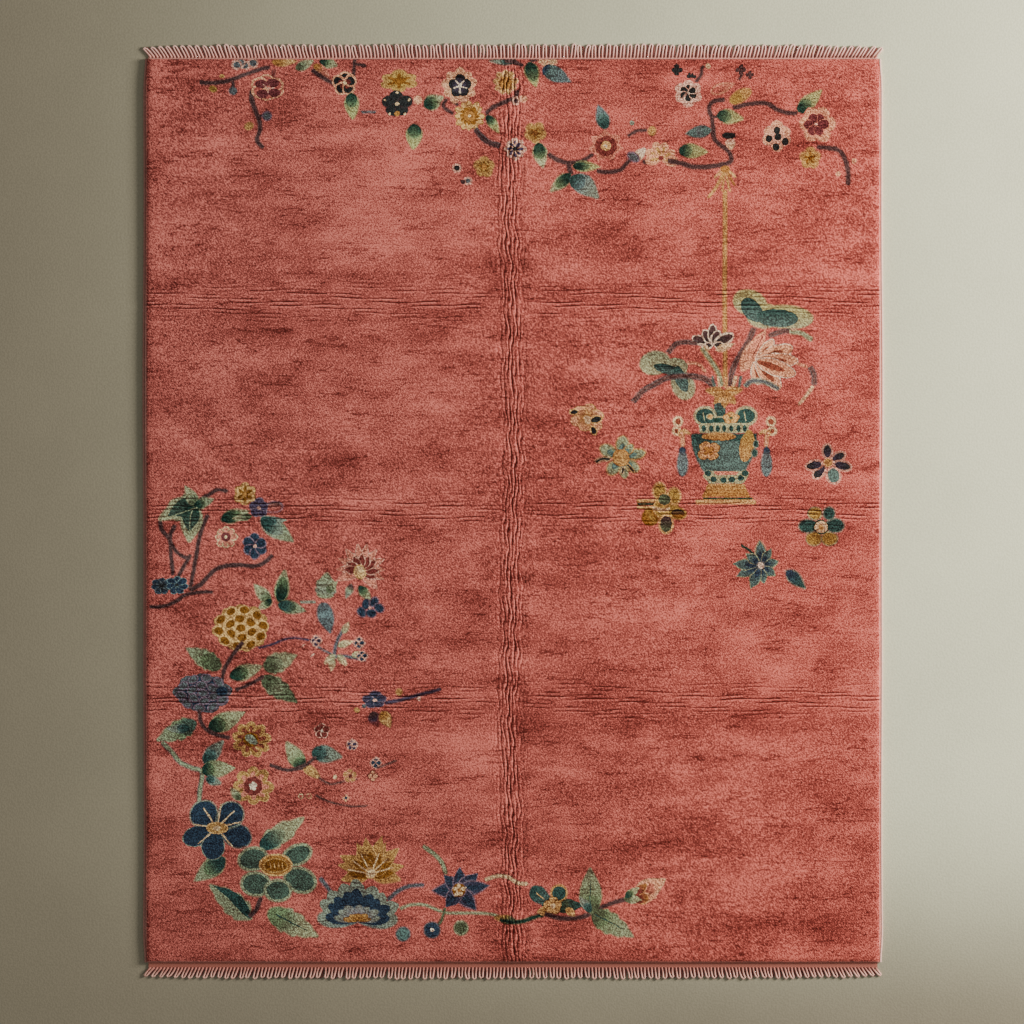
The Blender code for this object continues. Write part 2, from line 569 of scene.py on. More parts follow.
def plum_branch() -> tuple[Motif, ...]:
    """The branch of blossom that hangs across the top, from left to right."""
    twig = 2.4
    return (
        Stem(((200, 82.5), (210, 83), (222, 82), (232, 79.5), (245, 74.5), (258, 70), (270, 67)), 3.4),
        Stem(((233, 81), (233, 88)), twig, twig), Dot((233, 91), 4, SLATE),
        Bloom((241, 67), 8, 3, SLATE, rim_width=1.4, sweep=200), Dot((253, 63), 3.6, SLATE, rim=BLUSH),
        Dot((222, 76), 3, GOLD, 2.2), Dot((213, 89), 4, MUSTARD, 2.8, -30),
        Leaf((272, 62), (297, 61), 9, GOLDEN), Leaf((296, 69), (314, 60), 9, DUSTY),
        Leaf((320, 60), (338, 66), 11), Leaf((314, 65), (330, 78), 9, Tones(AMBER, SALMON, SALMON)),
        Stem(((312, 70), (322, 77), (334, 84)), 3.4), Stem(((355, 58), (354, 68), (353, 80)), twig, twig),
        Stem(((355, 64), (366, 66)), twig, twig),
        Stem(((252, 90), (252, 100), (256, 112), (259, 120), (260, 130), (257, 140), (263, 148)), 4, 3),
        Stem(((274, 70), (273, 78)), twig, twig, MAROON), Stem(((259, 116), (266, 116)), twig, twig),
        Dot((267, 116), 3.4, SLATE, rim=LILAC), Dot((249, 126), 4.5, GOLD, 3.4, 20),
        Bloom((267, 88), 15, 6, ROSE, rim=PEACH, rim_width=2.2, fill=1.2, squash=0.78),
        *[Dot(at, 6.4, WINE, 4.4) for at in ((261.5, 84), (273, 83), (262.5, 94), (274, 93))],
        Stem(((262, 84), (268, 88), (275, 88)), 1.2, 1.2, BLUSH, None),
        Stem(((269, 84), (268, 94)), 1.2, 1.2, BLUSH, None),
        Bloom((345, 83), 11, body=INK, rim=PEACH, rim_width=1.8, mark=MAROON, hub=CREAM),
        Leaf((351, 93), (353, 120), 14, FRESH),
        Bloom((399, 81), 20, 6, MUSTARD, GOLD, rim=None, squash=0.55, mark=BRONZE, mark_share=0.7,
            mark_fill=0.3, hub=BRONZE, hub_share=0.34),
        Bloom((397, 104), 15, body=INK, rim=BARK, rim_width=0.6, squash=0.85, hub=CREAM, hub_share=0.15),
        *[Dot(at, 1.4, CREAM) for at in ((397, 92.5), (409, 100), (404.5, 114), (389.5, 114), (385, 100))],
        Dot((397, 114), 3, AMBER), Stem(((361, 112), (376, 112)), twig, twig, SLATE, None),
        Dot((418, 100), 4, PEACH), Leaf((424, 106), (444, 97), 15, heart=0.5),
        Leaf((415, 124), (413, 150), 16, FRESH), Stem(((447, 99), (443, 106), (453, 114)), 2.4, 2.4),
        Stem(((451, 99), (458, 105)), 2.4, 2.4), Bloom((460, 86), 17.5, 9, CREAM, PEACH, rim=PEACH),
        Bloom((460, 86), 11, body=PLUM, outer=INK, rim=INK, rim_width=0.5, hub=IVORY, hub_share=0.14,
            ray=IVORY, ray_share=0.7),
        Bloom((469.5, 116), 15.5, 12, GOLD, HONEY, rim=AMBER, rim_width=0.7, mark=BRONZE, mark_share=0.66,
            mark_fill=0.9, hub=AMBER, hub_share=0.36),
        Dot((469.5, 116), 1.8, CREAM),
        Bloom((505.5, 83), 12.5, 9, GOLD, HONEY, rim=PEACH, mark=AMBER, hub=AMBER, hub_share=0.5),
        Leaf((517, 61), (489, 61), 8, COOL),
        Stem(((486, 114), (492, 108), (500, 104), (510, 100), (516, 97), (518, 90)), 3.4),
        Leaf((487, 115), (499, 133), 9, FRESH),
        Stem(((475, 129), (481, 136), (488, 142), (500, 146)), 3.8, 4.2, edge=SLATE),
        Bloom((515, 149), 11, 8, CREAM, BLUSH, rim_width=0.6, mark=PLUM, mark_share=0.8, mark_fill=0.6,
            hub=INK, hub_share=0.22),
        Bloom((484, 167), 11, body=MUSTARD, outer=GOLD, rim=None, mark=BRONZE, mark_fill=0.25, hub=AMBER,
            hub_share=0.3),
        Dot((457, 168), 3, INK, rim=BLUSH), Dot((468, 181), 2.6, SLATE, rim=BLUSH),
        Dot((463, 182), 2.6, BARK), Stem(((505, 60), (516, 63), (523, 66)), 3.4),
        Stem(((530, 60), (541, 59)), 3.4), Leaf((529, 62), (536, 87), 14, FRESH, heart=0.6),
        Bloom((548, 60), 9, 4, CREAM, rim=PEACH, rim_width=1.4, turn=-90, sweep=180, squash=0.7),
        Leaf((543, 68), (571, 82), 15, BLUE, heart=0.2), Dot((523, 99), 4.2, PEACH, 2.8),
        Dot((516, 101), 2.6, BARK, rim=BLUSH),
        Bloom((535, 133), 11, body=MUSTARD, outer=GOLD, rim=None, turn=60, mark=BRONZE, mark_fill=0.2,
            hub=AMBER, hub_share=0.3),
        Leaf((538, 143), (543, 168), 14, heart=0.5),
        Stem(((548, 154), (560, 161), (570, 163), (582, 161), (593, 154)), 3.8),
        Stem(((568, 162), (571, 174)), 4, 4), Leaf((571, 174), (550, 192), 12, heart=0.55),
        Leaf((571, 177), (599, 199), 19, Tones(PEACOCK, SKY, MIST), heart=0.35, bend=0.06),
        Leaf((573, 166), (600, 167), 10, FRESH, heart=0.5),
        Stem(((628, 136), (637, 131), (647, 130)), twig, twig),
        Leaf((606, 129), (598, 105), 13, Tones(PEACOCK, TEAL, SKY), heart=0.5),
        Bloom((606, 146), 18, 7, MAROON, SALMON, rim=SALMON, tip=Tip.POINTED, fill=1.2, squash=0.9,
            hub=MAROON, hub_share=0.62),
        Dot((606, 146), 5.2, HONEY, rim=MAROON), Dot((606, 146), 1.6, IVORY),
        Dot((652, 131), 3.8, GOLD, 4.6), Dot((632, 123), 2.6, MIST),
        Stem(((597, 171), (608, 172), (620, 170), (628, 162), (634, 156), (638, 157)), 3.4),
        Leaf((634, 160), (646, 148), 9, PALE, heart=0), Dot((633.5, 157), 5.5, SLATE, 3.2, -32, LILAC),
        Stem(((643, 162), (657, 161.5)), 3.6, 3.6),
        Bloom((661, 158), 16, 6, PEACH, rim=PEACH, rim_width=0.7, sweep=250, mark=GOLD, mark_share=0.75,
            mark_fill=0.4, hub=MAROON, hub_share=0.16),
        Stem(((668, 161), (680, 163), (692, 166.5), (705, 167), (720, 165), (730, 162), (731, 156), (727,
            150), (718, 143), (714, 138), (713, 128), (712, 118), (709, 110), (710, 105), (715, 101), (725,
            99.5)), 4.2, 3.2),
        Stem(((733, 108), (744, 105), (757, 103), (768, 104), (778, 110), (788, 113), (797, 113)), 3.6,
            3.4),
        Stem(((712, 117), (718, 117)), twig, twig), Leaf((679, 150), (708, 152), 14, FRESH, heart=0.35),
        Leaf((711, 130), (685, 134), 12, Tones(TEAL, SLATE, TEAL)),
        Leaf((717, 115), (744, 119), 14, FRESH, heart=0.4),
        Leaf((798, 112), (822, 90), 14, Tones(PINE, LEAF, LIME), heart=0.4),
        Leaf((730, 102), (751, 90), 12, OCHRE, tip=Tip.FULL),
        Leaf((712, 92), (733, 84), 7, Tones(ROSE, ROSE, SALMON), heart=0, rim=PEACH),
        Bloom((688.5, 93), 13.5, 6, IVORY, BLUSH, rim_width=0.6, mark=INK, mark_share=0.66, mark_fill=0.66,
            hub=IVORY, hub_share=0.12),
        Bloom((677, 70), 6, 4, INK, rim=None), Bloom((691, 78), 6, 4, INK, rim=None, sweep=180),
        Stem(((696, 82), (701, 75), (702, 68), (704, 66)), end=2), Dot((708, 66), 3, CREAM),
        Bloom((741, 70), 5.5, 4, BARK, rim=None), Bloom((750, 75), 4.5, 4, BARK, rim=None),
        Stem(((742, 74), (739, 80)), 1.8, 1.8),
        Leaf((730, 138), (731, 150), 9, Tones(BLUSH, BLUSH, CREAM), heart=0),
        Dot((729, 135.5), 7, INK, 3.2), Bloom((817, 124), 19, 6, SALMON, PEACH, rim=SALMON, turn=60),
        Bloom((816, 124.5), 12.5, 6, WINE, rim=SALMON, rim_width=0.5, turn=60, hub=BLUSH, hub_share=0.12),
        Bloom((777, 136), 15, 6, BLUSH, PEACH, rim_width=0.7, squash=0.95),
        *[Dot(at, 3.7, INK) for at in ((777, 130.5), (769, 138.5), (778, 137), (785, 141.5), (776, 147))],
        Stem(((817, 147), (828, 148), (836, 149), (842, 154), (846, 162), (848, 172), (848, 185)), 3.6,
            3.8),
        Bloom((810, 158), 11, body=MUSTARD, outer=GOLD, rim=None, mark=BRONZE, mark_fill=0.3, hub=BRONZE,
            hub_share=0.22),
        *[Dot(at, 2.8, PEACH) for at in ((854, 161), (838, 174))],
    )


def lotus_of_vase() -> tuple[Motif, ...]:
    """The lotus leaves and flowers that stand in the hanging vase."""
    return (
        *[Dot(at, across, LIME, along, turn, far=STRAW) for at, across, along, turn in (((750, 303), 17,
            12.5, -20), ((786, 317), 27, 11.5, -4), ((764, 316), 17, 12, 0))],
        *[Dot(at, across, PEACOCK, along, turn, far=TEAL) for at, across, along, turn in (((752, 310), 9,
            14, 38), ((777, 318), 21, 9, -3))],
        Stem(((754, 328), (747, 344), (738, 358), (732, 372), (730, 386)), 4, 3.8, BARK_LIGHT, SLATE),
        Stem(((769, 336), (780, 332), (790, 331)), 3.4, 3.4, BARK_LIGHT, SLATE),
        Stem(((790, 332), (801, 333), (812, 340)), 2.4, 3.4, SAGE, STRAW),
        Bloom((713, 345), 21, body=INK, outer=BARK, rim=IVORY, rim_width=1.2, tip=Tip.FULL, each=((160, 23,
            8), (124, 16, 8), (93, 21, 8), (66, 15, 8), (27, 23, 8), (186, 9, 4.5), (-6, 10, 4.5)),
            inner=0.12),
        Leaf((716, 350), (734, 344), 6, Tones(HONEY, CREAM, CREAM), heart=0),
        Leaf((710, 350), (698, 343), 5, PALE, heart=0),
        Stem(((702, 348), (711, 361), (718, 372), (722, 386)), 4.2, 4, SAGE, GOLD),
        Stem(((668, 353), (676, 344), (685, 342), (697, 343)), 3.6, 3, BARK_LIGHT, SLATE),
        Leaf((742, 370), (765, 331), 13, Tones(SALMON, PEACH, SALMON), heart=0, rim=PEACH),
        Stem(((752, 358), (757, 348), (763, 336)), 1.5, 1.5, MAROON, None),
        Bloom((757, 361), 36, 6, PEACH, rim=IVORY, rim_width=0.9, tip=Tip.FULL, each=((52, 27, 9), (-86, 24,
            12), (27, 36, 15), (-48, 37, 15), (2, 40, 14), (-22, 40, 15)), mark=RUST, mark_share=0.74,
            mark_fill=0.42),
        Stem(((795, 363), (808, 367)), 1.8, 1.4, PEACH, None),
        Stem(((810, 367), (814, 375), (814, 385)), 4, 4.6, BARK_LIGHT, SLATE),
        Stem(((813, 386), (806, 396), (798, 405)), 2.8, 2, CREAM, None),
        *[Dot(at, across, SAGE, along, turn, far=STRAW) for at, across, along, turn in (((655, 363), 15,
            11.5, 10), ((675, 367), 13, 9, 0), ((683, 385), 11, 15, 22))],
        *[Dot(at, across, PEACOCK, along, turn, far=TEAL) for at, across, along, turn in (((667, 369), 14,
            5, -14), ((681, 379), 6, 14, 22))],
        Stem(((633, 402), (643, 391), (655, 384), (667, 378), (686, 376), (705, 379), (714, 386)), 4, 4.6,
            BARK_LIGHT, SLATE),
        Stem(((687, 363), (698, 364), (706, 372)), 2.2, 2.2, PEACH, None),
        *[Stem(((x, 376), (x + lean, 388)), 2.8, 2.8, dye, None) for x, lean, dye in ((712, 3, TEAL),
            (718, 1, CREAM), (726, 0, HONEY), (736, -3, CREAM), (741, -2, TEAL))],
        Stem(((745, 386), (752, 381), (765, 382), (779, 389)), 3.8, 3.2, SLATE, MIST),
    )


def vase() -> tuple[Motif, ...]:
    """The vase with its cord and bow, its rings and its tassels, from the top down."""
    return (
        *[Stem(((725, 168), end), 2.6, 1.5, dye, None) for end, dye in (((714, 178), HONEY), ((737, 178),
            HONEY), ((716, 188), AMBER), ((735, 186), AMBER), ((722, 192), GOLD), ((730, 192), GOLD))],
        Stem(((724, 172), (717, 186), (708, 198)), end=2, core=GOLD, edge=None),
        Dot((725, 169), 5, AMBER, 3.4), Stem(((736, 171), (738, 180), (738, 187)), 1.4, 1.4, MAROON, None),
        Stem(((725, 190), (725, 230), (724.6, 290), (725, 345), (725, 378)), 2.8, core=GOLD, edge=AMBER),
        *lotus_of_vase(), PotBody(720, ((400, 5.5), (417, 6)), TEAL, PEACOCK),
        *[Leaf((724, 393), end, 9, Tones(GOLD, HONEY, GOLD)) for end in ((705, 390), (743, 389), (713, 404),
            (736, 404), (725, 409))],
        *[Stem(((726, 390), end), 1.6, 1.4, AMBER, None) for end in ((716, 401), (709, 391), (728, 405),
            (736, 400), (741, 391))],
        *[motif for grow, dye in ((0, STRAW), (2, PEACOCK)) for motif in (Dot((705, 416), 11 - grow, dye,
            9.5 - grow), Dot((746, 416), 11 - grow, dye, 9.5 - grow), PotBody(725, ((416 + grow, 26 -
            grow), (425 - grow, 26 - grow)), dye))],
        Dot((710, 416.5), 3, GOLD, 2.4, rim=STRAW, rim_width=0.8), Dot((717, 420), 3.6, PINE, 2.2),
        Bloom((731, 418), 8, body=GOLD, outer=HONEY, rim=AMBER, squash=0.7, hub=MOSS, hub_share=0.3),
        Stem(((703, 412), (705, 422)), 1.3, 1.3, STRAW, None),
        Stem(((744, 411), (746, 422)), 1.3, 1.3, STRAW, None),
        PotBody(724, ((423.5, 25), (433, 24.5)), STRAW),
        *[Dot((x, 428.5), 2.3, PEACOCK, 3.6) for x in (703.6, 711.2, 717.6, 724.3, 731.3, 738.4, 744.6)],
        PotBody(724, ((434, 32.5), (446, 32), (460, 27), (472, 20)), PEACOCK, TEAL),
        PotBody(725, ((441, 13), (460, 20), (469, 15)), TEAL),
        Dot((719, 436.5), 17.5, GOLD, 4, far=AMBER),
        Bloom((709, 451), 12, 4, PEACH, GOLD, rim=BRONZE, rim_width=0.6, turn=35, squash=0.85, mark=AMBER,
            mark_share=0.55, hub=AMBER, hub_share=0.24),
        Leaf((750, 430), (744, 462), 15, OCHRE, heart=0, tip=Tip.FULL),
        *[Dot((x, y), 2.4, PEACOCK, 3.8, rim=MIST, rim_width=0.6) for x, y in ((756, 444), (754.5, 453))],
        PotBody(726, ((471, 20), (476, 23), (483.5, 17)), STRAW),
        *[Dot(at, 3.5, PEACOCK, 3.1, rim=STRAW, rim_width=0.7) for at in ((713.9, 479.5), (723.3, 480),
            (732.2, 479.6), (740.8, 478), (745, 473.5), (708, 473.5))],
        PotBody(726, ((471.5, 12), (475, 11)), SALMON),
        PotBody(726, ((483.8, 18.5), (490, 20.5), (497, 25)), GOLD, AMBER),
        *[Stem(((704 + k, 487 + 3 * k), (748 + k, 487 + 3 * k)), 0.9, 0.9, BRONZE, None) for k in range(3)],
        Stem(((703, 498.8), (753, 498.8)), 2, 2, PINE, MUSTARD),
        Stem(((696, 502), (755.5, 502)), 2.4, 2.4, HONEY, GOLD), *handle(678, -1), *handle(771, 1),
    )


def handle(x: float, side: int) -> tuple[Motif, ...]:
    """A ring handle with its chain and tassel.

    Args:
        x: Column of the rings.
        side: -1 on the vase's left, 1 on its right.

    Returns:
        Its motifs.
    """
    tassel = x - 4.5 * side
    return (
        Dot((x, 421.5), 3, RUST, rim=CREAM, rim_width=1.8),
        Dot((x + 1.5 * side, 431), 2.4, RUST, rim=CREAM, rim_width=1.8),
        Dot((x - 3.5 * side, 433.5), 1.8, RUST, rim=HONEY, rim_width=1.6),
        Stem(((x - 5 * side, 430), (x - 12 * side, 434)), end=2.6, core=HONEY, edge=None),
        Stem(((x - 3 * side, 432), (tassel, 438), (tassel, 448)), 2.8, 2.6, PEACH, AMBER),
        Leaf((tassel, 447), (tassel, 475), 8, Tones(NAVY, SLATE, SKY), heart=0.22, tip=Tip.ROUND, rim=SKY),
    )


def fallen_blooms() -> tuple[Motif, ...]:
    """The single flowers strewn round the vase."""
    return (
        Bloom((587, 418), 17, 6, AMBER, PEACH, rim=GOLD, squash=0.8, tilt=-12, hub=CREAM),
        *[Dot(at, across, INK, along, turn, HONEY) for at, across, along, turn in (((574, 412), 4, 2.4, 8),
            ((596, 419.5), 5.6, 3, 14), ((593.5, 430.5), 2.6, 4, 20))],
        Dot((588, 421), 3.2, CREAM),
        Bloom((621, 458), 23, 8, MOSS, SAGE, rim=GOLD, rim_width=0.9, tip=Tip.FULL, each=((150, 22, 11),
            (86, 23, 11), (12, 25, 9), (46, 19, 8), (-78, 22, 8), (-34, 21, 9), (-125, 21, 11)), inner=0.25,
            mark=TEAL, mark_share=0.7, mark_fill=0.5, hub=GOLD, hub_share=0.32, hub_rim=AMBER),
        Stem(((596, 462), (602, 459), (610, 459)), end=3.4, core=INK, edge=CREAM),
        Stem(((627, 464), (634, 472)), 2.6, 2.6, INK, GOLD),
        Stem(((623, 467), (622, 474)), 2.6, 2.6, INK, CREAM),
        *[Stem(((637, y), (658, y)), 1.8, 2, dye, BRONZE) for y, dye in ((501, HONEY), (504, PINE), (507.5,
            HONEY))],
        Leaf((658, 512), (643, 522), 17, Tones(BRONZE, MUSTARD, BRONZE), tip=Tip.FULL),
        Dot((666, 508), 12, MUSTARD, 11, rim=GOLD),
        *[Dot(at, 5.6, MUSTARD, 7.4, rim=HONEY) for at in ((659.5, 491), (674, 496))],
        Dot((664.5, 499.5), 6.4, MOSS, 5.6, rim=GOLD),
        Dot((678, 513.5), 7.2, INK, 4.6, -8, MUSTARD, far=BRONZE),
        Dot((666, 524), 6, BARK, 8.4, rim=HONEY, far=MOSS),
        Stem(((653, 508), (661, 510), (670, 509)), 4.4, 3.4, CREAM, HONEY),
        Bloom((828, 462.5), 20, 6, PLUM, INK, rim_width=1.2, tip=Tip.FULL, each=((93, 19, 8), (26, 19, 7.5),
            (-8, 22, 7.5), (227, 20, 8), (188, 22, 8)), inner=0.28, hub=GOLD, hub_rim=PEACH),
        Dot((833.5, 475.5), 5.8, TEAL, 7.2, 18, BLUSH),
        *[Dot(at, across, MUSTARD, along, rim=SAGE, rim_width=0.8) for at, across, along in (((815, 513.5),
            6.2, 5.6), ((814, 538.5), 7.2, 6.4), ((829.5, 538.5), 7.4, 6.2))],
        *[Dot(at, across, PEACOCK, along, rim=MIST, rim_width=0.8) for at, across, along in (((808, 526),
            8.6, 6), ((835, 525.5), 8.6, 6.4), ((829, 513.5), 5.2, 5.8))],
        Dot((821, 527), 6.8, CREAM, 6, rim=PINE), Dot((821, 527.5), 3, GOLD),
        Stem(((741, 545), (750, 551), (758, 560)), 2.6, 2.6, PINE, None),
        Bloom((761, 565.5), 26, 8, outer=TEAL, rim=SAGE, rim_width=0.9, tip=Tip.SPEAR, each=((92, 26, 9),
            (58, 20, 8), (14, 19, 8), (-36, 19, 9), (-78, 18, 8), (-115, 25, 10), (-158, 28, 9), (174, 28,
            10), (142, 20, 9)), mark=NAVY, hub=IVORY, hub_share=0.13, hub_rim=SLATE),
        Leaf((787, 571), (805, 588), 10, Tones(NAVY, NAVY, PEACOCK), heart=0.2, rim=MIST),
    )


def upper_garden() -> tuple[Motif, ...]:
    """The upper part of the garden on the left, down to the long twigs."""
    return (
        Stem(((160, 520), (162, 530), (170, 540), (171, 553), (173, 575))),
        Stem(((175, 525), (170, 538), (175, 550), (186, 558), (191, 555)), end=2.6),
        Stem(((208, 515), (203, 525), (199, 540), (196, 557), (193, 575), (190, 590)), 3.4),
        Stem(((190, 590), (200, 585), (207, 578), (215, 570), (225, 566), (240, 565), (255, 566), (265,
            562), (273, 555)), 3.6, 3),
        Stem(((190, 556), (183, 568), (178, 577)), 2.8, 2.6),
        Stem(((200, 500), (210, 494), (217, 490), (228, 491)), end=2.6),
        Leaf((203, 503), (158, 520), 23, Tones(MOSS, SAGE, STRAW), heart=0, teeth=3, bend=-0.06),
        Leaf((193, 504), (189, 543), 22, Tones(MOSS, SAGE, STRAW), heart=0),
        Leaf((201, 504), (167, 516), 19, Tones(PINE, PINE, FERN), heart=0, bend=-0.06),
        Leaf((192, 505), (189, 532), 18, Tones(PINE, PINE, FERN), heart=0),
        Leaf((197, 506), (185, 486), 11, DUSTY), Leaf((194, 506), (214, 499), 10, Tones(PINE, MOSS, SAGE)),
        Stem(((198, 507), (184, 512), (166, 518)), 1.6, 1.2, SAGE, None),
        Stem(((192, 510), (190, 522), (190, 536)), 1.6, 1.2, SAGE, None),
        Bloom((245, 494), 11.5, 6, GOLD, HONEY, rim=AMBER, rim_width=0.6, mark=BRONZE, mark_share=0.75,
            mark_fill=0.4, hub=AMBER),
        Leaf((221, 520), (249, 511), 13, heart=0.55), Leaf((252, 516), (231, 519), 8, DUSTY),
        Dot((274, 507), 8, BARK_LIGHT, 4.2, 6, LILAC, far=ROSE),
        Bloom((259, 508), 9.5, body=PLUM, rim=LILAC, rim_width=0.9, hub=BLUSH),
        Leaf((261, 518), (294, 542), 18, Tones(PEACOCK, MIST, SAGE), heart=0.5),
        Leaf((266, 522), (287, 520), 9, COOL),
        Bloom((226, 537), 10.5, 8, SALMON, rim=CREAM, rim_width=1, hub=WINE, hub_share=0.46,
            hub_rim=SALMON),
        Dot((226, 537), 1.8, CREAM),
        Bloom((255, 546), 12, 6, rim=LILAC, rim_width=1.1, hub=BLUSH, hub_share=0.18),
        Stem(((150, 607), (165, 606), (178, 600), (185, 595), (200, 592), (213, 592)), 2.6, 2.2),
        Bloom((162, 586), 11, 7, INK, NAVY, rim=SLATE, rim_width=0.9, squash=0.75, hub=INK, hub_share=0.24),
        Bloom((177, 585), 11, 7, rim=SKY, rim_width=0.9, squash=0.8, hub=INK),
        Leaf((270, 602), (254, 584), 11, DUSTY), Leaf((280, 603), (285, 569), 14, heart=0.6),
        Leaf((278, 604), (306, 611), 13, Tones(PEACOCK, MOSS, SAGE), heart=0.5),
        Leaf((272, 600), (258, 609), 8), Stem(((300, 602), (316, 602)), 2.2, 2, MIST, None),
        Leaf((322, 603), (331, 634), 16, Tones(SLATE, SKY, SLATE), heart=0.3),
        Leaf((325, 598), (327, 572), 20, Tones(SAGE, MIST, SAGE), heart=0.2, teeth=3),
        Leaf((327, 592), (338, 581), 9, DUSTY),
        Bloom((361, 569), 25, 11, SALMON, rim_width=0.9, tip=Tip.POINTED, turn=75, sweep=280),
        Bloom((361, 571), 18, 8, MAROON, rim_width=0.9, tip=Tip.SPEAR, fill=1.1, turn=75, sweep=230),
        Dot((360, 572), 5, CREAM, 6.4, 15, HONEY, far=HONEY), Leaf((359, 586), (371, 601), 9),
        Leaf((352, 584), (346, 598), 7, DUSK),
        *[Dot(at, 3.4, NAVY, 4.6, lean, LILAC, 0.9) for at, lean in (((362, 612), 40), ((366, 604), -10),
            ((374, 602), -40), ((379, 608), 60), ((371, 613), 80))],
        Dot((370, 608), 1.8, BLUSH), *full_flower((241, 628), (29.5, 24), 11, HONEY, GOLD, BRONZE, HONEY),
        Stem(((258, 648), (270, 645), (290, 638), (310, 640)), 2.2, 1.8, PLUM, None),
        Stem(((310, 640), (320, 648), (333, 655)), 2, 1.8, SLATE, None),
        Stem(((333, 660), (336, 645), (340, 635), (346, 625)), 2.2, 1.8, SLATE, LILAC),
        Stem(((328, 660), (340, 656), (356, 658), (366, 660)), 2, 1.6, SLATE, LILAC),
        *[Leaf(base, end, 6, Tones(SAGE, STRAW, CREAM), heart=0) for base, end in (((343, 633), (349,
            622)), ((338, 646), (353, 641)), ((335, 655), (324, 664)), ((333, 658), (331, 671)), ((338,
            655), (347, 666)), ((352, 657), (361, 651)))],
        Bloom((316, 641), 5, 4, PLUM, rim_width=0.7), Bloom((359, 643), 5, 4, rim_width=0.7),
        Bloom((362, 656), 5, 4, rim_width=0.7), Stem(((301, 648), (305, 644)), 1.8, 1.8, BLUSH, None),
        Stem(((310, 657), (315, 653)), 1.8, 1.8, BLUSH, None),
    )


def middle_garden() -> tuple[Motif, ...]:
    """The middle of the garden on the left."""
    return (
        Stem(((385, 703), (400, 700), (415, 696), (430, 692), (441, 689)), 3.2, 2.2, PLUM),
        Bloom((375, 700), 12, outer=PLUM, rim=LILAC, squash=0.7, hub=BLUSH),
        Leaf((372, 712), (378, 728), 12, Tones(BARK, PLUM, MAROON)),
        Leaf((382, 712), (390, 727), 11, GOLDEN, rim=MAROON), Dot((399, 692), 3.2, GOLD),
        Dot((419, 699), 2.4, BLUSH), Dot((357, 710), 3, GOLD), Dot((364, 706), 2.4, SLATE),
        Stem(((243, 642), (233, 655), (225, 668), (222, 680))),
        Leaf((221, 668), (186, 648), 18, Tones(MOSS, LEAF, SAGE), teeth=5),
        Leaf((230, 677), (263, 666), 15), Leaf((264, 668), (297, 655), 19, DUSTY, teeth=4),
        Leaf((262, 677), (298, 703), 19, Tones(MOSS, SAGE, MOSS), teeth=5),
        Stem(((236, 690), (250, 684), (264, 676)), 2.6, 2.4),
        *full_flower((203, 693), (29, 20), 9, NAVY, SLATE, SLATE, LILAC),
        Dot((222, 691), 6, NAVY, 4.6, 12, SLATE),
        Leaf((196, 722), (156, 741), 19, Tones(FERN, LEAF, SAGE), heart=0.4, teeth=4),
        Leaf((190, 728), (166, 729), 10, COOL), Leaf((209, 729), (245, 712), 18, heart=0.35),
        Stem(((199, 710), (202, 724), (212, 733), (230, 738)), 2.8, 2.6),
        Stem(((162, 742), (172, 752), (180, 762), (192, 768), (202, 772), (200, 790), (199, 805)), 3.2, 3.2,
            SAGE, SLATE),
        Leaf((204, 763), (224, 740), 14, COOL), Leaf((202, 770), (235, 768), 17, heart=0.3),
        Leaf((206, 778), (222, 784), 9, COOL),
        Bloom((251, 739.5), 19.5, 9, AMBER, GOLD, rim=HONEY, squash=0.92, mark=RUST, mark_share=0.8,
            mark_fill=0.5, hub=BRONZE, hub_share=0.4, hub_rim=RUST),
        Dot((251.5, 739.5), 6, MIST, 2.8, -38, SAGE),
        Bloom((253, 786), 19.5, 8, AMBER, GOLD, rim=HONEY, mark=SALMON, mark_share=0.8, mark_fill=0.5,
            hub=MAROON, hub_share=0.48, hub_rim=SALMON),
        Bloom((253, 786), 4.6, body=IVORY, rim=None), Leaf((240, 800), (231, 788), 8, DUSTY),
        Leaf((303, 769), (286, 741), 16, heart=0.3), Leaf((303, 765), (321, 779), 9, GOLDEN, heart=0),
        Leaf((312, 752), (343, 757), 17, COOL, heart=0.35),
        Stem(((270, 765), (288, 770), (304, 766), (316, 757)), 2.6, 2.2),
        Bloom((322, 731), 7.5, body=MAROON, hub=IVORY, hub_share=0.24),
        Stem(((318, 777), (330, 784), (345, 781), (358, 779)), 2, 1.8, BARK_LIGHT, None),
        Bloom((350, 776), 7, body=PEACH, outer=GOLD, rim=SALMON, hub=MAROON, hub_share=0.3),
        Bloom((376, 763), 5, 4), Bloom((373, 776), 5, 4, PEACH, rim=MAROON),
        Stem(((376, 768), (388, 764), (397, 760)), 1.8, 1.6, BARK_LIGHT, None),
        Bloom((352, 745), 5, body=PLUM, rim_width=0.7), Dot((335, 777), 2.2, CREAM),
        Dot((301, 796), 1.8, ROSE, rim=CREAM), Dot((309, 796), 1.8, ROSE, rim=PEACH),
        Stem(((315, 795), (330, 802), (350, 806), (368, 806)), 1.6, 1.4, BARK_LIGHT, None),
        Bloom((346, 798), 4, 4, PEACH, rim=None, hub=NAVY, hub_share=0.4),
    )


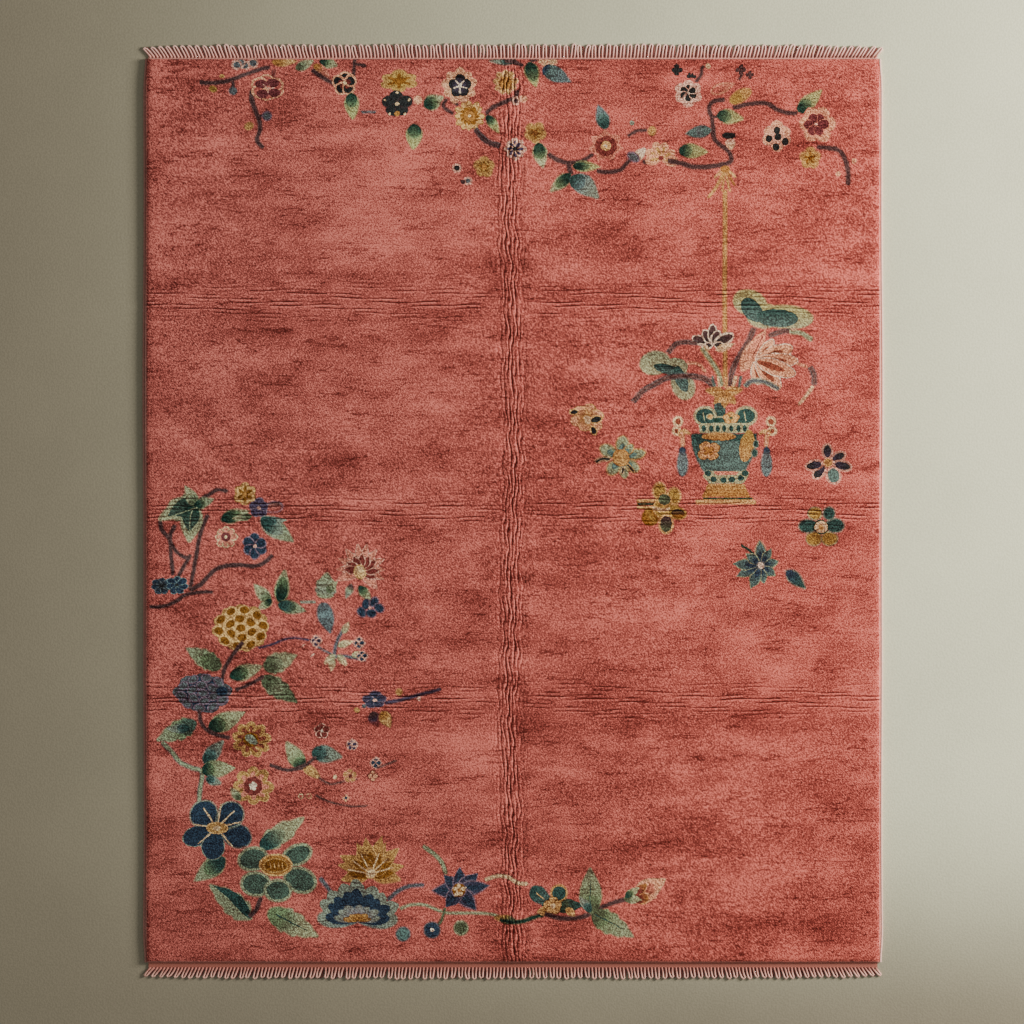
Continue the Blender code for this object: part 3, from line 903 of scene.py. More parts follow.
def lower_garden() -> tuple[Motif, ...]:
    """The large flowers at the lower left, and the row along the bottom."""
    return (
        Leaf((225, 858), (194, 881), 19, Tones(PEACOCK, LEAF, SAGE), heart=0.5),
        Leaf((260, 848), (305, 817), 20, Tones(PEACOCK, SAGE, STRAW), teeth=3),
        Leaf((252, 919), (209, 884), 22, Tones(FERN, SAGE, SAGE), heart=0, teeth=4),
        Leaf((251, 919), (212, 885), 11, Tones(PINE, PEACOCK, PEACOCK), heart=0, bend=-0.1),
        Leaf((268, 911), (319, 937), 24, Tones(LEAF, SAGE, STRAW), teeth=5),
        Stem(((276, 914), (292, 923), (308, 931)), 2.2, 1.2, PEACOCK, None),
        Stem(((250, 917), (257, 908), (261, 897)), 3.2, 3.2),
        Bloom((217, 828), 37, rim=MIST, rim_width=0.9, each=((-16, 37, 22), (131, 30, 27), (45, 34, 24),
            (195, 35, 19), (-103, 34, 22)), ray=CREAM, rays=(171, 124, 80, 45, 15, -50, 220),
            ray_share=0.68),
        Dot((217, 828), 10, GOLD, 5, rim=HONEY, rim_width=1), Dot((217, 828), 4.5, CREAM, 2.4),
        *[Dot(at, across, FERN, along, turn, SAGE, 2.4) for at, across, along, turn in (((253, 859), 13,
            9.6, 12), ((297, 855), 13.5, 8, 24), ((300, 880), 14.5, 10.5, -20), ((256, 884), 13, 10, -6),
            ((278, 890.5), 11.5, 9, 0))],
        Dot((275.7, 865), 15, AMBER, 9.6, rim=HONEY, rim_width=1.8),
        Dot((275.7, 865.5), 11.5, BRONZE, 6.2, rim=GOLD),
        *[Stem(((270 + 4 * k, 862), (271 + 4 * k, 869)), 1.2, 1.2, HONEY, None) for k in range(4)],
        Stem(((320, 878), (328, 888), (335, 898)), core=SLATE, edge=LILAC),
        Bloom((371, 872), 38, 7, AMBER, GOLD, rim=HONEY, tip=Tip.POINTED, each=((195, 33, 14), (-15, 32,
            14), (170, 33, 13), (12, 34, 13), (148, 36, 16), (40, 38, 16), (120, 31, 15), (62, 33, 14), (75,
            36, 14), (98, 34, 15))),
        Bloom((371, 874), 25, 7, BRONZE, rim=GOLD, rim_width=0.7, tip=Tip.POINTED, fill=1.3, sweep=200,
            squash=0.95, ray=CREAM, rays=(168, 142, 115, 70, 45, 18)),
        Dot((371, 873), 4.6, CREAM, rim=HONEY),
        Stem(((388, 900), (398, 891), (410, 886), (424, 885)), end=2.4, core=SLATE, edge=LILAC),
        Bloom((358, 921), 41, 9, SKY, MIST, rim=MIST, rim_width=0.9, fill=1.4, sweep=196, squash=0.95),
        Bloom((358, 921), 33, 9, rim=NAVY, fill=1.3, sweep=188, squash=0.92),
        Bloom((358, 921), 24, 7, LILAC, MIST, rim=SLATE, rim_width=0.9, fill=1.2, sweep=180, squash=0.7),
        Bloom((358, 921), 14, body=AMBER, outer=GOLD, rim=BRONZE, fill=1.2, sweep=180, squash=0.55),
        Stem(((423, 846), (435, 855), (442, 863), (446, 874)), 2.8, 3, SAGE, MOSS),
        Bloom((459, 890), 28, 7, PLUM, NAVY, rim=LILAC, rim_width=1, tip=Tip.POINTED, each=((178, 28, 13),
            (135, 23, 12), (85, 21, 12), (45, 27, 13), (8, 29, 13), (-50, 27, 14), (-125, 23, 14)),
            mark=NAVY, mark_share=0.8, mark_fill=0.5, hub=BRONZE, hub_share=0.24, hub_rim=LILAC),
        Bloom((459, 890), 8, body=CREAM, rim=None, tip=Tip.SPEAR, fill=0.6, hub=AMBER, hub_share=0.24),
        Stem(((485, 880), (497, 876), (508, 877), (518, 883), (528, 884)), 2.6, 2.6, CREAM, BARK),
        Stem(((400, 909), (410, 905), (425, 905), (440, 911), (450, 913), (470, 913), (490, 914), (505,
            918)), 2.8, 2.4, SAGE, None),
        Stem(((445, 908), (442, 919), (438, 925)), 3.2, 3.2, MOSS, None),
        Dot((403, 934), 6, TEAL, rim=SLATE), Dot((432, 930), 7, NAVY, rim=SLATE),
        Dot((432, 930), 2.2, IVORY), Dot((461, 928), 6, MOSS, rim=SAGE),
        Leaf((516, 921), (493, 917), 8, Tones(MOSS, MUSTARD, GOLD)),
        Stem(((500, 920), (512, 922), (524, 921), (535, 917), (545, 914)), end=3.2, core=PINE, edge=MOSS),
        Leaf((551, 905), (531, 888), 16, Tones(PEACOCK, TEAL, PEACOCK), heart=0.3, tip=Tip.ROUND),
        Leaf((553, 906), (584, 905), 15, Tones(PINE, MOSS, PEACOCK), heart=0.4),
        Dot((559, 893), 7, PEACOCK, rim=GOLD), Leaf((550, 910), (536, 912), 10, GOLDEN),
        Bloom((553, 906), 9, body=GOLD, outer=HONEY, rim=BRONZE, rim_width=0.7, hub=CREAM, hub_share=0.3),
        Leaf((566, 908), (576, 917), 8, GOLDEN, heart=0),
        Stem(((536, 893), (545, 900)), 1.4, 1.4, HONEY, None),
        Stem(((545, 914), (560, 918), (575, 918), (588, 915), (600, 908), (615, 902), (628, 899)), 3.6,
            3.4),
        Leaf((591, 913), (590, 867), 22, Tones(MOSS, LEAF, SAGE), heart=0.3),
        Leaf((591, 912), (579, 896), 9, COOL),
        Leaf((592, 913), (634, 937), 21, Tones(MOSS, LEAF, SAGE), heart=0.3, teeth=4),
        Stem(((591, 911), (590, 895), (591, 880)), 1.5, 1.2, PEACOCK, None),
        Stem(((594, 914), (610, 922), (624, 930)), 1.5, 1.2, PEACOCK, None),
        Leaf((636, 896), (664, 880), 17, Tones(RUST, SALMON, PEACH), heart=0.5, rim=CREAM),
        Leaf((634, 899), (657, 897), 12, Tones(MAROON, AMBER, PEACH), heart=0.5),
        Leaf((634, 895), (650, 881), 9, Tones(MAROON, AMBER, PEACH), heart=0.6),
        Leaf((624, 898), (642, 900), 10, DUSTY), Leaf((625, 897), (640, 887), 8),
    )


def whole_pattern() -> list[Patch]:
    """Every patch of the pattern, the lowest first."""
    motifs = (*plum_branch(), *vase(), *fallen_blooms(), *upper_garden(), *middle_garden(), *lower_garden())
    return [patch for motif in motifs for patch in motif.patches()]


# ---------------------------------------------------------------- shape of the pile


@dataclass(frozen=True)
class Relief:
    """The pile's outline and height, with its folds. u is x measured off the lengthwise fold."""

    rim: tuple[tuple[float, float], ...] = ((0.0, 0.62), (0.005, 0.88), (0.014, 1.0))
    edge_out: float = 0.0065
    edge_wave: float = 0.0022
    corner_draw: float = 0.0060
    corner_reach: float = 0.060
    hump_height: float = 0.0030
    hump_half_width: float = 0.045
    unevenness: float = 0.0006
    cross_folds: tuple[float, ...] = (0.697, 0.006, -0.619)
    long_pitch: float = 0.0122
    long_count: int = 3  # grooves on each side of the middle one
    long_depth: float = 0.0034
    cross_pitch: float = 0.0125
    cross_count: int = 4
    cross_depth: float = 0.0020

    def edge_offset(self, y: Array) -> Array:
        """How far the long edges stand out at y: two slow waves, drawn in at the corners."""
        wave = self.edge_out + self.edge_wave * (0.6 * np.sin(2.9 * y + 0.7) + 0.4 * np.sin(6.3 * y - 1.1))
        to_end = np.minimum(y - PILE_Y0, PILE_Y1 - y)
        return wave - self.corner_draw * np.exp(-((to_end / self.corner_reach) ** 2))

    def fold_line(self, y: Array) -> Array:
        """The x of the lengthwise fold at y."""
        return -0.004 + 0.007 * np.sin(3.7 * (y + 0.2)) + 0.003 * np.sin(11.0 * y)

    def follow(self, u: Array) -> Array:
        """How much of the fold line's swing a place takes up: all near the fold, none at the edges."""
        return np.clip((PILE_HALF_WIDTH - np.abs(u)) / (PILE_HALF_WIDTH - 0.1085), 0.0, 1.0)

    def x_of(self, u: Array, y: Array) -> Array:
        """The x of a place that lies u off the fold."""
        return u + self.follow(u) * self.fold_line(y) + u / PILE_HALF_WIDTH * self.edge_offset(y)

    def u_of(self, x: Array, y: Array) -> Array:
        """The other way round, by four rounds of correction."""
        u = x.copy()
        for _ in range(4):
            u = u - (self.x_of(u, y) - x)
        return u

    def long_wander(self, u: Array, y: Array) -> Array:
        """How far the lengthwise grooves stray sideways."""
        swell = 0.7 + 0.3 * np.sin(9.0 * y)
        return (0.0034 * swell * np.sin(60.0 * y + 30.0 * u) + 0.0026 * np.sin(27.0 * y - 50.0 * u + 1.0)
                + 0.0020 * np.sin(97.0 * y + 240.0 * u))

    def cross_wander(self, x: Array, v: Array) -> Array:
        """How far the crosswise grooves stray along the rug."""
        return 0.0030 * np.sin(12.6 * x + 20.0 * v) + 0.0014 * np.sin(37.0 * x - 50.0 * v + 2.0)

    def long_grooves(self, u: Array, y: Array) -> tuple[Array, Array]:
        """Lengthwise grooves: their number, whole along each groove's line, and their strength, 0 to 1."""
        number = (u + self.long_wander(u, y)) / self.long_pitch
        fade = np.clip(1.12 - np.abs(number) / (self.long_count + 0.5), 0.0, 1.0) ** 0.7
        line = np.round(number)
        strength = 0.80 + 0.30 * np.sin(17.0 * y + 2.3 * line) + 0.34 * np.sin(47.0 * y + 4.1 * line * line)
        return number, fade * np.clip(strength, 0.0, 1.0)

    def cross_grooves(self, u: Array, y: Array) -> tuple[Array, Array]:
        """The same for the crosswise grooves, which are broken and stop short of the lengthwise fold."""
        off = y - np.array(self.cross_folds)[:, None]
        fold = np.argmin(np.abs(off), axis=0)
        v = np.take_along_axis(off, fold[None, :], axis=0)[0]
        number = (v + self.cross_wander(u, v)) / self.cross_pitch
        fade = np.clip(1.1 - np.abs(number) / (self.cross_count + 0.5), 0.0, 1.0) ** 0.6
        line = np.round(number)
        phase = 2.1 * fold + 1.9 * line
        strength = 0.34 + 0.74 * np.sin(13.0 * u + phase) + 0.56 * np.sin(41.0 * u + 2.3 * phase + line)
        clear = 1.0 - np.exp(-((u / 0.075) ** 2))
        return number, fade * np.clip(strength, 0.0, 1.0) * clear

    def height(self, u: Array, y: Array) -> Array:
        """Top of the pile: thickness, slow unevenness, the hump and the grooves, rounded off at the rim."""
        long, cross = (strength * (0.5 + 0.5 * np.cos(2.0 * math.pi * number)) ** 1.8
                       for number, strength in (self.long_grooves(u, y), self.cross_grooves(u, y)))
        slow = self.unevenness * (np.sin(5.1 * u + 1.3 * y) + np.sin(3.3 * y - 2.0 * u + 1.0))
        top = THICKNESS + slow + self.hump_height * np.exp(-((u / self.hump_half_width) ** 2))
        top = top - self.long_depth * long - self.cross_depth * cross
        side = self.rim_share(PILE_HALF_WIDTH - np.abs(u))
        end = self.rim_share(np.minimum(y - PILE_Y0, PILE_Y1 - y))
        return top * np.minimum(side, end)

    def rim_share(self, distance: Array) -> Array:
        """Share of the full thickness at a distance in from the edge."""
        return np.interp(distance, [inset for inset, _ in self.rim], [share for _, share in self.rim])

    def loop(self, inset: float, step: float) -> Array:
        """The pile's outline drawn in by an inset, counter-clockwise from its lower left corner.

        Args:
            inset: Distance in from the edge.
            step: Spacing of its points.

        Returns:
            x and y of each point, shape (n, 2).
        """
        half = PILE_HALF_WIDTH - inset
        low, high = PILE_Y0 + inset, PILE_Y1 - inset
        across = np.linspace(-half, half, max(2, round(2.0 * half / step)), endpoint=False)
        up = np.linspace(low, high, max(2, round((high - low) / step)), endpoint=False)
        u = np.concatenate([across, np.full(len(up), half), -across, np.full(len(up), -half)])
        y = np.concatenate([np.full(len(across), low), up, np.full(len(across), high), low + high - up])
        return np.stack([self.x_of(u, y), y], axis=-1)


@dataclass(frozen=True)
class WearAndShading:
    """A soft patch where the pile is lighter or darker than the rest: crushed or brushed pile, or painted
    shade.
    """

    at: Square
    across: float
    along: float
    amount: float

    def strength(self, squares: Array) -> Array:
        """Its amount at places on the chart, fading as a bell from its middle."""
        off = (squares - place(self.at)) / np.array([self.across, self.along])
        return self.amount * np.exp(-np.sum(off * off, axis=-1))


# Patches of worn pile and painted shade. The long strips along both ends, at rows 60 and 955, and the dark
# spots beside the lengthwise fold, at columns 503 and 522, are painted shade.
WEAR_AND_SHADING = tuple(WearAndShading((x, y), across, along, amount) for x, y, across, along, amount in (
    (240, 317, 34, 22, -0.9), (210, 470, 80, 12, -0.7), (407, 343, 60, 12, -0.6),
    (550, 383, 50, 10, -0.8), (650, 383, 60, 8, -0.7), (400, 140, 70, 60, 0.6), (540, 210, 26, 34, 0.5),
    (673, 217, 48, 18, 0.9), (567, 363, 50, 12, 0.6), (655, 360, 30, 12, 0.6), (825, 280, 34, 40, 0.6),
    (830, 350, 34, 30, 0.5), (353, 417, 90, 13, 0.6), (553, 450, 46, 44, -0.7), (342, 448, 30, 18, -0.5),
    (570, 530, 66, 28, -0.6), (630, 616, 90, 16, 0.9), (815, 650, 70, 50, 0.6), (580, 705, 60, 16, -0.8),
    (522, 727, 13, 24, -1.3), (345, 722, 90, 12, -0.8), (427, 643, 80, 8, -0.6), (467, 750, 44, 44, 0.5),
    (590, 850, 70, 26, -0.7), (503, 935, 15, 44, -1.2), (567, 935, 36, 22, -0.6), (767, 850, 50, 34, 0.5),
    (633, 930, 34, 20, 0.5), (340, 260, 60, 14, 0.5), (330, 275, 22, 16, -0.6), (310, 250, 14, 30, -0.5),
    (180, 440, 40, 10, 0.4), (760, 400, 60, 30, 0.3), (513, 60, 380, 7, -0.7), (513, 955, 380, 8, -0.6),
    (250, 855, 60, 20, -0.4), (440, 120, 40, 10, 0.4), (640, 280, 46, 16, -0.5), (745, 250, 30, 30, -0.4),
    (450, 530, 40, 26, 0.3), (480, 590, 30, 10, 0.5), (410, 700, 20, 10, -0.4), (300, 450, 60, 40, -0.45),
    (450, 605, 50, 26, -0.4), (600, 560, 50, 40, -0.4), (600, 700, 60, 40, -0.5), (400, 205, 60, 40, 0.8),
    (820, 900, 60, 40, -0.6), (200, 900, 50, 40, -0.5), (200, 200, 50, 50, 0.4),
))


# ---------------------------------------------------------------- meshes


def mesh_object(name: str, verts: Array, faces: Array | list, smooth: bool = True) -> Piece:
    """Makes an object of a mesh, in the scene.

    Args:
        name: Its name.
        verts: Points, shape (n, 3).
        faces: Faces, as rows of point numbers.
        smooth: Whether it is shaded smooth.

    Returns:
        The object.
    """
    mesh = bpy.data.meshes.new(name)
    rows = faces.tolist() if isinstance(faces, np.ndarray) else faces
    mesh.from_pydata(verts.tolist(), [], rows)
    mesh.update()
    if smooth:
        mesh.shade_smooth()
    obj = bpy.data.objects.new(name, mesh)
    bpy.context.scene.collection.objects.link(obj)
    return obj


def add_attribute(obj: Piece, name: str, kind: str, domain: str, values: Array) -> None:
    """Stores values on a mesh.

    Args:
        obj: The object.
        name: The attribute's name.
        kind: FLOAT, FLOAT_VECTOR or FLOAT_COLOR.
        domain: POINT, CORNER or FACE.
        values: One row for each point, corner or face.
    """
    store = obj.data.attributes.new(name, kind, domain)
    key = {"FLOAT": "value", "FLOAT_VECTOR": "vector", "FLOAT_COLOR": "color"}[kind]
    store.data.foreach_set(key, np.ascontiguousarray(values, dtype=np.float32).ravel())


def add_uv(obj: Piece, values: Array) -> None:
    """Gives a mesh a UV map from a pair of values for each point."""
    corners = np.empty(len(obj.data.loops), dtype=np.int32)
    obj.data.loops.foreach_get("vertex_index", corners)
    layer = obj.data.uv_layers.new(name="UVMap")
    layer.data.foreach_set("uv", values[corners].astype(np.float32).ravel())


def tube_faces(rings: int, sides: int) -> list[list[int]]:
    """Faces of a tube whose points run round each ring in turn, with flat caps.

    Args:
        rings: Number of rings.
        sides: Points in each.

    Returns:
        Rows of point numbers.
    """
    ring = np.arange(rings - 1)[:, None] * sides
    side = np.arange(sides)[None, :]
    following = (side + 1) % sides
    quads = np.stack([ring + side, ring + following, ring + sides + following, ring + sides + side], axis=-1)
    caps = [list(range(sides - 1, -1, -1)), list(range((rings - 1) * sides, rings * sides))]
    return quads.reshape(-1, 4).tolist() + caps


def covered(places: Array, outlines: list[Array]) -> Array:
    """Finds the highest outline over each place: a place is inside where a ray to its right crosses oddly.

    Args:
        places: Shape (n, 2).
        outlines: The outlines, the lowest first. The first is taken to hold every place.

    Returns:
        Numbers of outlines, shape (n,).
    """
    order = np.argsort(places[:, 1])
    rows = places[order]
    number = np.zeros(len(places), dtype=int)
    for index, outline in enumerate(outlines[1:], start=1):
        low, high = outline.min(axis=0), outline.max(axis=0)
        start, stop = np.searchsorted(rows[:, 1], [low[1], high[1]])
        near = start + np.flatnonzero((rows[start:stop, 0] > low[0]) & (rows[start:stop, 0] < high[0]))
        x, y = rows[near, 0:1], rows[near, 1:2]
        a, b = outline, np.roll(outline, -1, axis=0)
        spans = (a[:, 1] > y) != (b[:, 1] > y)
        rise = np.where(a[:, 1] == b[:, 1], 1.0, b[:, 1] - a[:, 1])
        crossings = spans & (x < a[:, 0] + (y - a[:, 1]) / rise * (b[:, 0] - a[:, 0]))
        number[order[near[crossings.sum(axis=1) % 2 == 1]]] = index
    return number


@dataclass(frozen=True)
class Charted:
    """A flat triangulation of the pile's outline, each triangle knotted from one patch."""

    points: Array  # (n, 2) metres
    faces: Array  # (m, 3)
    patch: Array  # (m,) patch number, 0 for the open field
    halo: Array  # (m,) number of a patch whose soft edge lies over that, 0 for none
    border: Array  # point numbers round the outline, counter-clockwise


@dataclass
class Chart:
    """Lays the pattern out on the pile's outline."""

    relief: Relief
    patches: list[Patch]
    border_step: float = 0.010
    clearance: float = 0.004  # between the pattern and the pile's edge
    feather: float = 0.0  # width of the patches' soft edges, in squares
    feather_step: float = 3.0
    feather_waver: float = 0.2
    feather_least: float = 6.0  # squares across, the smallest patch with a soft edge
    halo_bare: float = 0.45  # least share of a soft edge that has to lie on bare field

    def edged(self, patch: Patch, step: float, waver: float, rng: np.random.Generator,
              grow: float = 0.0) -> Array:
        """A patch's outline in metres, stepped knot by knot and uneven, and kept inside the pile.

        Args:
            patch: The patch.
            step: Length of a step, in squares.
            waver: How far each point strays, in squares.
            rng: Source of the unevenness.
            grow: How far it is moved out, in squares.

        Returns:
            The outline, shape (n, 2).
        """
        outline = resampled(patch.outline, step, closed=True)
        if grow:
            along = np.roll(outline, -1, axis=0) - np.roll(outline, 1, axis=0)
            x, y = outline.T
            area = np.sum(x * np.roll(y, -1) - y * np.roll(x, -1))
            out = np.stack([along[:, 1], -along[:, 0]], axis=-1) * np.sign(area)
            outline = outline + grow * out / (np.linalg.norm(out, axis=1, keepdims=True) + 1e-9)
        outline = (outline + rng.uniform(-waver, waver, outline.shape)) * KNOT
        half = PILE_HALF_WIDTH + self.relief.edge_offset(outline[:, 1]) - self.clearance
        x = np.clip(outline[:, 0], -half, half)
        y = np.clip(outline[:, 1], PILE_Y0 + self.clearance, PILE_Y1 - self.clearance)
        return np.stack([x, y], axis=-1)

    def lay(self, loose: Array, step: float, waver: float) -> Charted:
        """Triangulates outline, patches and loose points together, as a constrained Delaunay mesh.

        Args:
            loose: Further points, shape (n, 2).
            step: Length of a patch outline's steps, in squares.
            waver: How far its points stray, in squares.

        Returns:
            The triangulation. A triangle takes the highest patch that covers it.
        """
        rng = np.random.default_rng(8)
        border = self.relief.loop(0.0, self.border_step)
        outlines = [border] + [self.edged(patch, step, waver, rng) for patch in self.patches]
        soft = [number for number, patch in enumerate(self.patches, start=1)
                if self.feather and np.ptp(patch.outline, axis=0).max() > self.feather_least]
        halos = [self.edged(self.patches[number - 1], self.feather_step, self.feather_waver, rng,
                            self.feather) for number in soft]
        owner = np.repeat(np.arange(len(halos)), [len(halo) for halo in halos])
        bare = covered(np.concatenate([*halos, np.zeros((1, 2))]), outlines)[:-1] == 0
        share = np.bincount(owner, bare, len(halos)) / np.bincount(owner, minlength=len(halos))
        soft = [number for number, bare_share in zip(soft, share) if bare_share > self.halo_bare]
        halos = [border] + [halo for halo, bare_share in zip(halos, share) if bare_share > self.halo_bare]
        drawn = outlines + halos[1:]
        starts = np.cumsum([0] + [len(outline) for outline in drawn])
        edges = []
        for start, outline in zip(starts, drawn):
            index = np.arange(len(outline))
            edges.append(np.stack([start + index, start + (index + 1) % len(outline)], axis=-1))
        flat = [Vector(point) for point in np.concatenate(drawn + [loose]).tolist()]
        laid = delaunay_2d_cdt(flat, np.concatenate(edges).tolist(), [], 0, 1e-6, True)
        points, faces = np.array([tuple(point) for point in laid[0]]), np.array(laid[2])
        rank = np.full(len(points), -1)
        for number, sources in enumerate(laid[3]):
            if sources and min(sources) < len(border):
                rank[number] = min(sources)
        order = np.argsort(np.where(rank < 0, len(points), rank), kind="stable")[: len(border)]
        rising = np.sum(rank[faces] < rank[np.roll(faces, -1, axis=1)], axis=1)
        faces = faces[(rank[faces] < 0).any(axis=1) | (rising == 2)]
        middles = points[faces].mean(axis=1)
        patch = covered(middles, outlines)
        halo = np.array([0] + soft)[covered(middles, halos)]
        return Charted(points, faces, patch, np.where(halo > patch, halo, 0), order)

    def dyes(self, charted: Charted, bath: DyeBath) -> Array:
        """The dye at each corner of each triangle.

        Args:
            charted: The triangulation.
            bath: How the dyes take.

        Returns:
            Linear colours, shape (m * 3, 4).
        """
        field_patch = Patch(np.zeros((3, 2)), ROSE)
        rows = [field_patch] + self.patches
        near = np.array([bath.take(row.near) for row in rows])
        far = np.array([bath.take(row.far or row.near) for row in rows])
        origin = np.array([row.origin for row in rows])
        slope = np.array([row.slope for row in rows])
        radial = np.array([row.radial for row in rows])
        corner = charted.points[charted.faces] / KNOT

        def tint(number: Array) -> Array:
            """The dyes of the patches with these numbers, at the corners of their triangles."""
            off = corner - origin[number][:, None, :]
            along = np.sum(off * slope[number][:, None, :], axis=-1)
            outward = np.linalg.norm(off, axis=-1) * radial[number][:, None]
            share = np.clip(along + outward, 0.0, 1.0)[..., None]
            share = share * share * (3.0 - 2.0 * share)
            return near[number][:, None, :] * (1.0 - share) + far[number][:, None, :] * share

        colour = tint(charted.patch)
        over = (charted.halo > 0)[:, None, None]
        colour = np.where(over, 0.5 * colour + 0.5 * tint(charted.halo), colour)
        return np.concatenate([colour, np.ones((*colour.shape[:2], 1))], axis=-1).reshape(-1, 4)


@dataclass
class RugBody:
    """The knotted pile: its charted top, its cut sides, and its flat knotted back."""

    relief: Relief = field(default_factory=Relief)
    bath: DyeBath = field(default_factory=DyeBath)
    knot_step: float = 2.4  # squares
    waver: float = 0.42
    back_step: float = 10.0
    back_least: float = 20.0  # squares across, the smallest patch shown on the back
    open_step: float = 0.042  # grid in plain pile
    long_row: float = 0.0120  # spacing along the lengthwise grooves
    cross_row: float = 0.0250
    back_grid: float = 0.120
    side_rings: tuple[tuple[float, float], ...] = ((0.0, 0.0058), (0.0006, 0.0020))  # (inset, height)
    back_inset: float = 0.0012
    rim_insets: tuple[float, ...] = (0.005, 0.014, 0.030)  # loops of points where the rim rounds off
    rim_step: float = 0.012
    groove_inset: float = 0.034  # how far the grooves' grids stay off the edges
    open_inset: float = 0.045
    edge_reach: tuple[float, float] = (PILE_HALF_WIDTH - 0.012, 1.488)  # rim points farther out than this

    def groove_points(self) -> Array:
        """Grids on the grooves, three points to a groove, each following its own wandering line.

        Returns:
            Places, shape (n, 2).
        """
        relief = self.relief
        inset = self.groove_inset
        marks = np.arange(-3 * relief.long_count - 1, 3 * relief.long_count + 2) * relief.long_pitch / 3.0
        rows = np.arange(PILE_Y0 + inset, PILE_Y1 - inset, self.long_row)
        warped, y = (grid.ravel() for grid in np.meshgrid(marks, rows))
        u = warped.copy()
        for _ in range(6):
            u = warped - relief.long_wander(u, y)
        grids = [np.stack([relief.x_of(u, y), y], axis=-1)]
        reach = (relief.long_count + 1.2) * relief.long_pitch
        marks = np.arange(-3 * relief.cross_count - 1, 3 * relief.cross_count + 2) * relief.cross_pitch / 3.0
        columns = np.arange(-PILE_HALF_WIDTH + inset, PILE_HALF_WIDTH - inset, self.cross_row)
        columns = columns[np.abs(columns) > reach]
        for at in relief.cross_folds:
            u, warped = (grid.ravel() for grid in np.meshgrid(columns, marks))
            v = warped.copy()
            for _ in range(6):
                v = warped - relief.cross_wander(u, v)
            grids.append(np.stack([relief.x_of(u, at + v), at + v], axis=-1))
        return np.concatenate(grids)

    def open_points(self, step: float, clear: bool) -> Array:
        """A staggered, slightly scattered grid over the pile.

        Args:
            step: Its spacing.
            clear: Whether it leaves the folds' bands to their own grids.

        Returns:
            Places, shape (n, 2).
        """
        relief = self.relief
        rng = np.random.default_rng(3)
        inset = self.open_inset
        columns = np.arange(-PILE_HALF_WIDTH + inset, PILE_HALF_WIDTH - inset + 0.001, step)
        rows = np.arange(PILE_Y0 + inset, PILE_Y1 - inset + 0.001, step * 0.87)
        u, y = np.meshgrid(columns, rows)
        u = u + (np.arange(len(rows)) % 2)[:, None] * step / 2.0
        u = (u + rng.uniform(-0.2, 0.2, u.shape) * step).ravel()
        y = (y + rng.uniform(-0.2, 0.2, y.shape) * step).ravel()
        keep = np.abs(u) < PILE_HALF_WIDTH - self.groove_inset
        if clear:
            keep &= np.abs(u) > (relief.long_count + 0.9) * relief.long_pitch
            for at in relief.cross_folds:
                keep &= np.abs(y - at) > (relief.cross_count + 0.9) * relief.cross_pitch
        return np.stack([relief.x_of(u[keep], y[keep]), y[keep]], axis=-1)

    def build(self) -> Piece:
        """Makes the pile: the top over its relief, rings down its sides, and the back at the floor.

        Returns:
            The object, with its dyes, its grooves and its patches of worn pile and painted shade stored on
            it.
        """
        relief = self.relief
        chart = Chart(relief, whole_pattern(), feather=1.1)
        rims = [relief.loop(inset, self.rim_step) for inset in self.rim_insets]
        loose = np.concatenate([*rims, self.groove_points(), self.open_points(self.open_step, True)])
        top = chart.lay(loose, self.knot_step, self.waver)
        large = [patch for patch in chart.patches if np.ptp(patch.outline, axis=0).max() > self.back_least]
        back_chart = Chart(relief, large)
        back = back_chart.lay(self.open_points(self.back_grid, False), self.back_step, 0.0)

        x, y = top.points.T
        u = relief.u_of(x, y)
        z = relief.height(u, y)
        top_verts = np.stack([x, y, z], axis=-1)
        edge = top_verts[top.border]
        inward = -np.sign(edge[:, :2]) * (np.abs(edge[:, :2]) > np.array(self.edge_reach))
        rings = [np.concatenate([edge[:, :2] + inward * inset, np.full((len(edge), 1), height)], axis=1)
                 for inset, height in self.side_rings]
        back_verts = np.concatenate([back.points, np.zeros((len(back.points), 1))], axis=1)
        back_verts[back.border, :2] += inward * self.back_inset
        verts = np.concatenate([top_verts, *rings, back_verts])

        count = len(edge)
        levels = [top.border]
        levels += [len(top_verts) + count * k + np.arange(count) for k in range(len(rings))]
        levels.append(len(top_verts) + count * len(rings) + back.border)
        walls = []
        for upper, lower in zip(levels, levels[1:]):
            a, b = upper, np.roll(upper, -1)
            c, d = lower, np.roll(lower, -1)
            walls += [np.stack([a, c, d], axis=-1), np.stack([a, d, b], axis=-1)]
        under = back.faces[:, ::-1] + len(top_verts) + count * len(rings)
        faces = np.concatenate([top.faces, *walls, under])
        rug = mesh_object("rug_body", verts, faces)

        field_dye = np.array([*self.bath.take(ROSE), 1.0])
        wall_dyes = np.tile(field_dye, (3 * sum(len(wall) for wall in walls), 1))
        back_dyes = back_chart.dyes(back, self.bath).reshape(-1, 3, 4)[:, ::-1].reshape(-1, 4)
        dyes = np.concatenate([chart.dyes(top, self.bath), wall_dyes, back_dyes])
        add_attribute(rug, "dye", "FLOAT_COLOR", "CORNER", dyes)
        all_u = relief.u_of(verts[:, 0], verts[:, 1])
        grooves = (relief.long_grooves(all_u, verts[:, 1]), relief.cross_grooves(all_u, verts[:, 1]))
        upper = np.arange(len(verts)) < len(top_verts)
        none = np.zeros(len(verts))
        for name, row in (("groove", 0), ("depth", 1)):
            pair = np.stack([grooves[0][row], grooves[1][row], none], axis=-1)
            add_attribute(rug, name, "FLOAT_VECTOR", "POINT", pair * upper[:, None])
